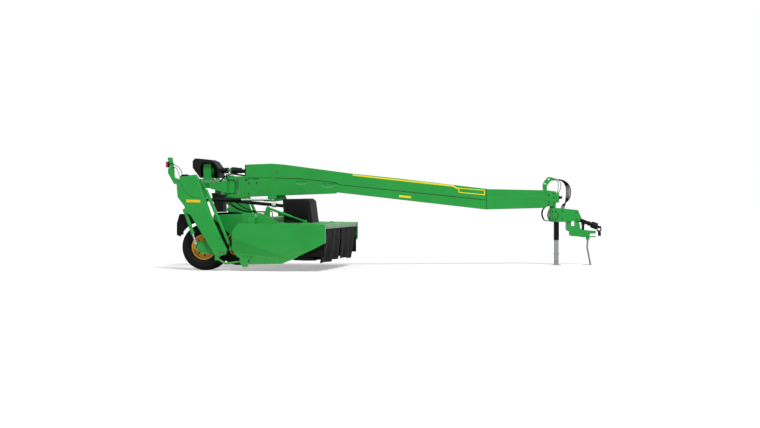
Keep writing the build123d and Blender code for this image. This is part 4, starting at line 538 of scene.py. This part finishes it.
# Galvanised strip: pale bluish grey with small mottled spangles
galvanised = plated("galvanised_strip", "A9B3AE", "8F9A94", 0.4, 14, 0.5)
FLAPS = 2
FLAP_THICKNESS = 0.005
FLAP_INSET = 0.006
FLAP_OVERLAP = 0.012
FLAP_SWEEP = 0.05
FLAP_STEP = 0.028
FOLD_DEPTH = 0.024
CENTRE_LAP = 0.014
LAP_BEHIND = 0.012
STRIP_LOW, STRIP_HIGH = 0.776, 0.806
STRIP_THICKNESS = 0.003
STRIP_BOLT = 0.016
STRIP_BOLTS = 7
for side, name in ((-1, "right"), (1, "left")):
    low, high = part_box(f"curtain_{name}")
    inner, outer = sorted((low[1], high[1]), key=lambda y: abs(y - ground.y))
    width = (outer - inner) / FLAPS
    work = bmesh.new()
    for flap in range(FLAPS):
        made = bmesh.ops.create_grid(work, x_segments=30, y_segments=18, size=0.5)["verts"]
        drop = (high[2] - low[2]) - FLAP_STEP * (FLAPS - 1 - flap)
        # The right curtain's inner flap reaches behind the left one and closes the gap
        reach = (2 * abs(inner - ground.y) + CENTRE_LAP) if side < 0 and flap == 0 else 0
        for vert in made:
            share, depth = vert.co.x + 0.5, 0.5 - vert.co.y
            y = inner + width * (flap + share) + FLAP_OVERLAP * (share - 0.5) * side
            fold = sin(tau * (share * 1.25 + 0.3 * flap + 0.12 * side)) * FOLD_DEPTH * depth ** 1.2
            sweep = FLAP_SWEEP * depth ** 2 * (0.5 + share * (flap == FLAPS - 1))
            x = high[0] - FLAP_INSET * (1 + flap % 2) - sweep - FOLD_DEPTH * depth + fold
            if reach:
                y += reach * (1 - share)
                x -= LAP_BEHIND * (1 - share) ** 4
            vert.co = (x, y, high[2] - drop * depth)
        faces = list({face for vert in made for face in vert.link_faces})
        bmesh.ops.solidify(work, geom=faces, thickness=FLAP_THICKNESS)
    piece = finished(f"rubber_flaps_{name}", work, curtain_rubber, f"front_cover_{name}", sharp=50)
    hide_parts(f"curtain_{name}")

    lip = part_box(f"front_cover_{name}")[1][0]
    y_near, y_far = inner + 0.02 * side, outer - 0.01 * side
    corners = [(lip, y, z) for y, z in (
        (y_near, STRIP_LOW), (y_far, STRIP_LOW), (y_far, STRIP_HIGH), (y_near, STRIP_HIGH))]
    work = bmesh.new()
    slab(work, corners, Vector((STRIP_THICKNESS, 0, 0)), 0.001)
    finished(f"clamping_strip_{name}", work, galvanised, f"front_cover_{name}")
    places = []
    for step in range(STRIP_BOLTS):
        y = y_near + (y_far - y_near) * (step + 0.5) / STRIP_BOLTS
        point = Vector((lip + STRIP_THICKNESS, y, (STRIP_LOW + STRIP_HIGH) / 2))
        places.append((point, Vector((1, 0, 0))))
    hex_bolts(f"strip_bolts_{name}", places, STRIP_BOLT, bolt_zinc, f"front_cover_{name}")


# Header bolts and the side panels of its gearbox guard
# Zinc-plated bolts hold the shields' shoes, the deck and the cross tube. The black guard over
# the header's gearbox has a pressed panel in each side.

HEADER_BOLT = 0.019
SHIELD_FACE = 1500
FOLD_BACK = 36
DECK_LEVEL = 848
CROSS_TUBE_LEVEL = 962
SHOE_BOLTS = ((793, 262), (748, 190))
header_bolts = []
for side in (-1, 1):
    out = Vector((0, side, 0))
    header_bolts += [(machine(x, side * (SHIELD_FACE - FOLD_BACK), z), out) for x, z in SHOE_BOLTS]
up = Vector((0, 0, 1))
header_bolts += [(machine(x, y, DECK_LEVEL), up)
                 for x in (880, 1630) for y in (-1380, -900, -620, 620, 900, 1380)]
header_bolts += [(machine(x, y, CROSS_TUBE_LEVEL), up)
                 for x in (745, 815) for y in (-1240, -1100, 1100, 1240)]
hex_bolts("header_bolts", header_bolts, HEADER_BOLT, bolt_zinc, "carrier")

PANEL = ((0.05, 0.07), (0.49, 0.07), (0.44, 0.38), (0.09, 0.38))
PANEL_THICKNESS = 0.006
bell_low, bell_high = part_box("bell_guard")
work = bmesh.new()
for side, y in ((-1, bell_low[1]), (1, bell_high[1])):
    corners = [(bell_low[0] + x, y, bell_low[2] + z) for x, z in PANEL]
    slab(work, corners, Vector((0, PANEL_THICKNESS * side, 0)), 0.004)
finished("bell_side_panels", work, powder_coat, "carrier")


# Tongue stripe, border and reflector
# Cast vinyl film on the enamel: a long tapering yellow stripe along the channel that ends at a
# thin yellow border, and a short reflector on the lower beam. A shallow slot near the pivot is
# drawn as a thin plate in painted shade.

# Cast vinyl film: a flat clean yellow with a satin face and no orange peel
vinyl = sprayed_enamel("yellow_vinyl", "F4E02A", "ECD31E", "F7E75A", dust_top=0.1, roughness=0.38, peel=0.0)
BEAM_FACE = 110
FILM = 1.5
STRIPE = ((2300, 1738), (2312, 1763), (4262, 1559), (4340, 1514), (4372, 1508), (4372, 1486),
          (4330, 1490), (4250, 1530))
BORDER = ((4366, 1510), (4890, 1468), (4890, 1366), (4440, 1406), (4366, 1420))
BORDER_WIDTH = 16
BEAM_REFLECTOR = ((3204, 1368), (3438, 1344), (3438, 1306), (3204, 1330))
work = bmesh.new()
for side in (-1, 1):
    out = swing @ Vector((0, side * FILM / 1000, 0))
    slab(work, [on_tongue(x, side * BEAM_FACE, z) for x, z in STRIPE], out)
    face = work.faces.new([work.verts.new(on_tongue(x, side * (BEAM_FACE + FILM), z)) for x, z in BORDER])
    face.normal_update()
    ring = bmesh.ops.inset_individual(
        work, faces=[face], thickness=BORDER_WIDTH / 1000, use_even_offset=True)["faces"]
    bmesh.ops.delete(work, geom=[face], context="FACES_ONLY")
    bmesh.ops.solidify(work, geom=ring, thickness=FILM / 1000)
    slab(work, [on_tongue(x, side * BEAM_FACE, z) for x, z in BEAM_REFLECTOR], out)
finished("tongue_stripe", work, vinyl, "tongue")

# The slot is a thin plate in painted shade, nearly black
SLOT_SHADE = ((818, 1799), (884, 1796), (884, 1806), (818, 1809))
work = bmesh.new()
for side in (-1, 1):
    slab(work, [on_tongue(x, side * BEAM_FACE, z) for x, z in SLOT_SHADE], tongue_across * side * 0.002)
finished("channel_slot_shades", work, painted_shade_green, "tongue")


# Bolts, painted shadow lines and painted edge highlights of the tongue
# Zinc-plated bolts go through the end cheeks, the pivot fork and the end flange. A nearly black
# bead, as painted shadow, runs where the channel meets the lower beam, and the two pressed
# pockets have a pale bead along their lower rounded edges as a painted highlight.

# Painted highlight on a rounded pressed edge: a paler green line where the edge faces the sky
pocket_highlight_green = sprayed_enamel("green_enamel_painted_edge_highlight", "63C57C", "55B96F", "7FD696", dust_top=0.3)
TONGUE_BOLT = 0.024
CHEEK_FACE = 118
CHEEK_BOLTS = ((6161, 1372), (6172, 1236), (6264, 1322), (6150, 1180), (6256, 1400), (6262, 1214))
FORK_BOLTS = ((330, 1600), (330, 1400), (480, 1600))
FLANGE_FACE = 6372
tongue_bolts = []
for side in (-1, 1):
    out = tongue_across * side
    tongue_bolts += [(on_tongue(x, side * CHEEK_FACE, z), out) for x, z in CHEEK_BOLTS]
    tongue_bolts += [(on_tongue(x, side * BEAM_FACE, z), out) for x, z in FORK_BOLTS]
tongue_bolts += [(on_tongue(FLANGE_FACE, y, z), tongue_along) for y in (-55, 55) for z in (1250, 1390)]
hex_bolts("tongue_bolts", tongue_bolts, TONGUE_BOLT, bolt_zinc, "tongue")

# Nearly black beads of painted shadow where the channel meets the lower beam
CHANNEL_SHADOW_LINES = {
    "front": ((2060, 1566), (3000, 1470), (4000, 1368), (4905, 1276)),
    "rear": ((820, 1690), (1293, 1681), (1700, 1638), (1981, 1607), (2039, 1569)),
}
CHANNEL_SHADOW_BEAD = 0.008
POCKET_HIGHLIGHTS = {
    "rear": ((1214, 1602), (1240, 1574), (1330, 1571), (1426, 1574), (1429, 1604)),
    "front": ((1709, 1552), (1735, 1519), (1835, 1516), (1954, 1519), (1958, 1556)),
}
POCKET_FACE = 108
POCKET_HIGHLIGHT_RADIUS = 0.005
END_SEAM_X = 4922
for side, name in ((-1, "right"), (1, "left")):
    for part, line in CHANNEL_SHADOW_LINES.items():
        line = [on_tongue(x, side * (BEAM_FACE - 3), z) for x, z in line]
        pipe(f"tongue_weld_{part}_{name}", line, CHANNEL_SHADOW_BEAD, painted_shade_green, "tongue")
    for part, line in POCKET_HIGHLIGHTS.items():
        line = [on_tongue(x, side * POCKET_FACE, z) for x, z in line]
        pipe(f"pocket_edge_{part}_{name}", line, POCKET_HIGHLIGHT_RADIUS, pocket_highlight_green, "tongue")
    # The end seam is a bead in painted shade
    line = [on_tongue(END_SEAM_X, side * (BEAM_FACE + 1), z) for z in (1100, 1200, 1320, 1480)]
    pipe(f"tongue_seam_{name}", line, SEAM_BEAD_RADIUS, painted_shade_green, "tongue")


# Guards of the drive joint at the pivot
# A sleeve and a bell moulded in black polyethylene. The sleeve sits on the gearbox's output;
# the bell is clipped over the shaft guard and ends at the joint's middle, so it can bend.

SHAFT_LEVEL = 1832
SLEEVE_START = -317
SLEEVE = [(0, 0.0475), (0.004, 0.053), (0.030, 0.053), (0.036, 0.0495), (0.196, 0.0495), (0.204, 0.0545),
          (0.216, 0.0545), (0.222, 0.0515), (0.236, 0.0515), (0.260, 0.0585), (0.266, 0.0585), (0.266, 0.055),
          (0.236, 0.050), (0.2, 0.0475), (0, 0.0475)]
work = bmesh.new()
turned(work, machine(SLEEVE_START, 0, SHAFT_LEVEL), Vector((1, 0, 0)), SLEEVE, 40)
finished("gearbox_output_sleeve", work, moulded_guard, "carrier", sharp=40)
PIVOT_BELL = [(0.012, 0.062), (0.016, 0.0665), (0.030, 0.0665), (0.036, 0.062), (0.052, 0.0615),
              (0.058, 0.0645), (0.070, 0.0645), (0.076, 0.060), (0.094, 0.059), (0.100, 0.062),
              (0.112, 0.062), (0.118, 0.057), (0.150, 0.052), (0.210, 0.051), (0.210, 0.048),
              (0.148, 0.049), (0.110, 0.054), (0.012, 0.058), (0.012, 0.062)]
work = bmesh.new()
turned(work, on_tongue(0, 0, SHAFT_LEVEL), tongue_along, PIVOT_BELL, 40)
finished("pivot_joint_bell", work, moulded_guard, "tongue", sharp=40)


# Infill strips under the channel
# Green steel strips inside the folded channel that close the gap over the lower beam.

INFILL = ((300, 1640), (1352, 1622), (1352, 1700), (800, 1712), (300, 1712))
INFILL_FACE = 94
INFILL_THICKNESS = 0.006
work = bmesh.new()
for side in (-1, 1):
    corners = [on_tongue(x, side * INFILL_FACE, z) for x, z in INFILL]
    slab(work, corners, tongue_across * side * INFILL_THICKNESS)
finished("channel_infill", work, green_enamel, "tongue")


# Hitch bolts and the guard bell of the drive
# Hexagon bolts hold the swivel gearbox's round covers and the hitch's side plates. The guard
# bell is ribbed black polyethylene, over bearing rings on the guard tube.

HITCH_BOLT = 0.020
COVER_X, COVER_Z = 6276, 976
COVER_FACE = 108
COVER_BOLTS = 8
COVER_BOLT_CIRCLE = 81
PLATE_FACE = 88
PLATE_BOLTS = ((6450, 1060), (6450, 900), (6720, 1030), (6740, 900))
hitch_bolts = []
for side in (-1, 1):
    out = tongue_across * side
    for step in range(COVER_BOLTS):
        angle = tau * (step + 0.5) / COVER_BOLTS
        x = COVER_X + COVER_BOLT_CIRCLE * cos(angle)
        z = COVER_Z + COVER_BOLT_CIRCLE * sin(angle)
        hitch_bolts.append((on_tongue(x, side * COVER_FACE, z), out))
    hitch_bolts += [(on_tongue(x, side * PLATE_FACE, z), out) for x, z in PLATE_BOLTS]
hex_bolts("hitch_bolts", hitch_bolts, HITCH_BOLT, bolt_zinc, "hitch")

BELL_RIB = [(-0.004, 0.0615), (-0.003, 0.0655), (0.003, 0.0655), (0.004, 0.0615)]
BELL_RIB_GAPS = (0.140, 0.122, 0.104, 0.086, 0.068, 0.052)
BEARING_RING = [(-0.02, 0.0375), (-0.018, 0.046), (0.012, 0.046), (0.02, 0.0375)]
BEARING_REACHES = (0.030, 0.225)
DRIVE_BELL = [(0.0, 0.062), (0.015, 0.066), (0.090, 0.0655), (0.098, 0.0675), (0.108, 0.0675), (0.110, 0.065),
              (0.085, 0.0635), (0.0, 0.062)]
DRIVE_BELL_START = 0.155
drive_start = on_tongue(6798, 0, 890)
drive_joint = on_tongue(7205, 0, 738)
drive = (drive_joint - drive_start).normalized()
work = bmesh.new()
for gap in BELL_RIB_GAPS:
    turned(work, drive_joint - drive * gap, drive, BELL_RIB, 40)
for reach in BEARING_REACHES:
    turned(work, drive_start + drive * reach, drive, BEARING_RING, 32)
turned(work, drive_joint - drive * DRIVE_BELL_START, drive, DRIVE_BELL, 40)
finished("pto_bell_ribs", work, moulded_guard, "hitch", sharp=40)


# Pressure hoses from the bracket to the hitch
# Wire-braided rubber hoses with crimped steel ferrules. They bow forward from the clamp and
# enter the swivel housing from above.

# Wrapped rubber over wire braid: soft black with a fine cloth grain
braided_rubber = grained_black("braided_hose_rubber", "0D0D0D", "1C1C1B", 0.55, 5, 0.5)
# Each hose: across at the clamp, foremost reach and place along the housing, millimetres
HITCH_HOSES = ((-36, 6626, 6430), (-12, 6606, 6456), (12, 6588, 6482), (36, 6570, 6508))
HITCH_HOSE_RADIUS = 0.0105
CLAMP_LEVEL = 1672
BOW_LEVEL = 1420
HOUSING_X, HOUSING_TOP = 6380, 1116
HOUSING_SLOPE = 38 / 383
CLAMP_FERRULE = [(0, 0), (0, 0.0125), (0.012, 0.0125), (0.014, 0.0118), (0.042, 0.0118),
                 (0.044, 0.010), (0.044, 0)]
HOUSING_FERRULE = [(0, 0), (0, 0.0118), (0.030, 0.0118), (0.032, 0.0135), (0.046, 0.0135),
                   (0.060, 0.011), (0.060, 0)]
ferrules = bmesh.new()
swivel_ferrules = bmesh.new()
for number, (start, reach, foot) in enumerate(HITCH_HOSES, 1):
    top = HOUSING_TOP - (foot - HOUSING_X) * HOUSING_SLOPE
    splay = start * 1.4
    route = ((6334, start, CLAMP_LEVEL), (6450, start * 1.05, CLAMP_LEVEL + 4),
             (reach - 20, start * 1.1, 1590), (reach, start * 1.2, BOW_LEVEL),
             (reach - 24, start * 1.3, 1260), (foot + 32, splay, top + 78), (foot + 10, splay, top + 40))
    line = [on_tongue(*point) for point in route]
    piece = pipe(f"hitch_hose_{number}", line, HITCH_HOSE_RADIUS, braided_rubber, smooth=4, sides=4)
    if number == 1:
        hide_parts("hitch_hoses")
    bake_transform(piece)
    turned(ferrules, on_tongue(6330, start, CLAMP_LEVEL), tongue_along, CLAMP_FERRULE, 16)
    down = (on_tongue(foot, splay, top) - on_tongue(foot + 12, splay, top + 44)).normalized()
    turned(swivel_ferrules, on_tongue(foot + 14, splay, top + 52), down, HOUSING_FERRULE, 16)
finished("hose_ferrules", ferrules, dull_zinc, "tongue")
finished("swivel_ferrules", swivel_ferrules, dull_zinc, "hitch")


# Short hoses at the tongue's end and round the hitch
# Two rubber leads run from the bracket into the tongue's end. Three rubber hoses loop behind
# the swivel from the tongue to the hitch.

END_LEAD_RADIUS = 0.006
END_LEADS = (
    ((6334, -48, 1668), (6400, -52, 1650), (6425, -56, 1560), (6410, -60, 1480), (6372, -50, 1400)),
    ((6334, 48, 1668), (6390, 50, 1640), (6402, 52, 1560), (6392, 50, 1470), (6372, 40, 1402)),
)
for number, route in enumerate(END_LEADS, 1):
    line = [on_tongue(*point) for point in route]
    pipe(f"end_lead_{number}", line, END_LEAD_RADIUS, braided_rubber, "tongue")

SWIVEL_HOSE_RADIUS = 0.009
# Each loop: across, and how far back it reaches along the tongue
SWIVEL_LOOPS = ((-34, 6050), (-10, 6066), (22, 6058))
for number, (y, back) in enumerate(SWIVEL_LOOPS, 1):
    route = ((6140, y, 1150), (6096, y, 1118), (back, y, 1060), (back - 6, y, 980), (back + 22, y, 905),
             (6112, y, 868), (6176, y, 862))
    line = [on_tongue(*point) for point in route]
    piece = pipe(f"swivel_hose_{number}", line, SWIVEL_HOSE_RADIUS, braided_rubber)
    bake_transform(piece)


# Hoses round the pivot and the header
# Black rubber pressure hoses: two over the pivot into the tongue, three from the nose down to
# screwed fittings on the header's cross tube, and a short one at each lift cylinder.

PIVOT_HOSE_RADIUS = 0.008
# Each hose: across at the pivot, and how much higher it runs
PIVOT_HOSES = ((-132, 0), (-104, -16))
for number, (y, rise) in enumerate(PIVOT_HOSES, 1):
    line = [machine(-200, y - 16, 1600), machine(-130, y, 1680 + rise), machine(-60, y + 8, 1748 + rise),
            machine(40, y + 20, 1776 + rise), machine(110, y + 52, 1768 + rise),
            on_tongue(230, y + 92, 1744 + rise), on_tongue(330, y + 102, 1738), on_tongue(430, y + 102, 1734)]
    piece = pipe(f"pivot_hose_{number}", line, PIVOT_HOSE_RADIUS, braided_rubber)
    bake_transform(piece)

HEADER_HOSE_RADIUS = 0.009
PORT_X = 742
HEADER_PORTS = (-372, -248, 248)
HEADER_ROUTES = (
    ((-200, -90, 1330), (-120, -118, 1325), (-60, -190, 1300), (34, -240, 1250), (140, -280, 1160),
     (300, -330, 1080), (540, -360, 1052), (690, -372, 1062)),
    ((-200, -60, 1300), (-112, -84, 1286), (-30, -150, 1236), (80, -200, 1166), (220, -230, 1086),
     (460, -246, 1040), (690, -248, 1058)),
    ((-200, 90, 1310), (-112, 116, 1296), (0, 186, 1256), (150, 230, 1146), (340, 246, 1068),
     (560, 248, 1040), (690, 248, 1058)),
)
for number, (y, route) in enumerate(zip(HEADER_PORTS, HEADER_ROUTES), 1):
    line = [machine(*point) for point in (*route, (PORT_X, y, 1058), (PORT_X, y, 1006))]
    pipe(f"header_hose_{number}", line, HEADER_HOSE_RADIUS, braided_rubber, "carrier")

LIFT_HOSE_RADIUS = 0.007
LIFT_HOSE = ((-424, 1438, 1196), (-448, 1434, 1150), (-482, 1434, 1090), (-462, 1436, 1040),
             (-418, 1442, 1020))
for side, name in ((-1, "right"), (1, "left")):
    line = [machine(x, side * y, z) for x, y, z in LIFT_HOSE]
    pipe(f"lift_hose_{name}", line, LIFT_HOSE_RADIUS, braided_rubber, "carrier")

FITTING = [(0, 0), (0, 0.016), (0.02, 0.016), (0.024, 0.012), (0.05, 0.012), (0.05, 0)]
work = bmesh.new()
for y in HEADER_PORTS:
    turned(work, machine(PORT_X, y, CROSS_TUBE_LEVEL), up, FITTING, 16)
finished("header_fittings", work, dull_zinc, "carrier")


# Pale collar on the header's drive shaft
# A grease collar moulded in pale nylon, snapped over the guard tube.

# Moulded nylon: warm off-white with a soft waxy face
nylon = grained_black("pale_nylon", "C9CCC4", "B0B3AA", 0.5, 20, 0.1)
SHAFT_COLLAR = [(0.0, 0.0425), (0.004, 0.0455), (0.03, 0.0455), (0.034, 0.0475), (0.044, 0.0475),
                (0.048, 0.0455), (0.074, 0.0455), (0.08, 0.0425)]
collar_start = machine(800, 0, 1190)
collar_end = machine(880, 0, 1182)
work = bmesh.new()
turned(work, collar_start, (collar_end - collar_start).normalized(), SHAFT_COLLAR, 40)
finished("shaft_collar", work, nylon, "carrier", sharp=40)


# Floor, light and camera
# A pale studio floor that runs out of view, a white surround, a soft main light from above,
# in front and the right, and a weak one from the left. The camera stands 31 m off with a long
# lens, 1.35 m up.

FLOOR_HALF = 120.0
work = bmesh.new()
bmesh.ops.create_grid(work, x_segments=2, y_segments=2, size=FLOOR_HALF)
floor_mesh = bpy.data.meshes.new("studio_floor")
work.to_mesh(floor_mesh)
work.free()
floor = bpy.data.objects.new("studio_floor", floor_mesh)
bpy.context.scene.collection.objects.link(floor)
floor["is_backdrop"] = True

# Matt white paint: it takes the soft shadow, and a little glow lifts the rest to white
floor_paint = bpy.data.materials.new("studio_floor_paint")
floor_paint.use_nodes = True
tree = floor_paint.node_tree
tree.nodes.clear()
seen = add_node(tree, "ShaderNodeLightPath")
matt = add_node(tree, "ShaderNodeBsdfDiffuse", {"Color": linear("DADADA")})
glow = add_node(tree, "ShaderNodeEmission", {"Color": (1, 1, 1, 1), "Strength": 0.38})
both = add_node(tree, "ShaderNodeAddShader", {0: matt.outputs[0], 1: glow.outputs[0]})
shown = add_node(tree, "ShaderNodeMixShader", {
    0: seen.outputs["Is Camera Ray"], 1: matt.outputs[0], 2: both.outputs[0]})
output = add_node(tree, "ShaderNodeOutputMaterial")
tree.links.new(shown.outputs[0], output.inputs["Surface"])
floor_mesh.materials.append(floor_paint)

world = bpy.data.worlds.new("studio_surround")
bpy.context.scene.world = world
world.use_nodes = True
tree = world.node_tree
tree.nodes.clear()
paths = add_node(tree, "ShaderNodeLightPath")
clear = add_node(tree, "ShaderNodeMath", {
    0: paths.outputs["Is Camera Ray"], 1: paths.outputs["Is Glossy Ray"]}, operation="MAXIMUM")
clear = add_node(tree, "ShaderNodeMath", {
    0: clear.outputs[0], 1: paths.outputs["Is Transmission Ray"]}, operation="MAXIMUM")
soft = add_node(tree, "ShaderNodeBackground", {"Color": (1, 1, 1, 1), "Strength": 0.4})
white = add_node(tree, "ShaderNodeBackground", {"Color": (1, 1, 1, 1), "Strength": 1.0})
either = add_node(tree, "ShaderNodeMixShader", {0: clear.outputs[0], 1: soft.outputs[0], 2: white.outputs[0]})
add_node(tree, "ShaderNodeOutputWorld", {"Surface": either.outputs[0]})

# Each light: its name, strength, width in the sky, tilt from overhead and turn, in degrees
LIGHTS = (("key_light", 2.5, 18, 42, 34), ("fill_light", 0.3, 60, 55, -70))
for name, strength, softness, tilt, turn in LIGHTS:
    lamp = bpy.data.lights.new(name, "SUN")
    lamp.energy = strength
    lamp.angle = radians(softness)
    holder = bpy.data.objects.new(name, lamp)
    bpy.context.scene.collection.objects.link(holder)
    holder.rotation_euler = (radians(tilt), 0, radians(turn))

VIEW_TURN = radians(10.5)
VIEW_WIDTH_PX = 760
FOCAL_PX = 1641
HORIZON_RISE_PX = 18
SENSOR_MM = 36
camera_data = bpy.data.cameras.new("photo_camera")
camera_data.sensor_width = SENSOR_MM
camera_data.lens = SENSOR_MM * FOCAL_PX / VIEW_WIDTH_PX
camera_data.shift_y = -HORIZON_RISE_PX / VIEW_WIDTH_PX
camera_data.clip_end = 400
camera = bpy.data.objects.new("photo_camera", camera_data)
bpy.context.scene.collection.objects.link(camera)
camera.location = machine(8417.1, -29968, 1350)
camera.rotation_euler = (radians(90), 0, VIEW_TURN)
bpy.context.scene.camera = camera
bpy.context.scene.view_settings.view_transform = "Standard"

low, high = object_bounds()
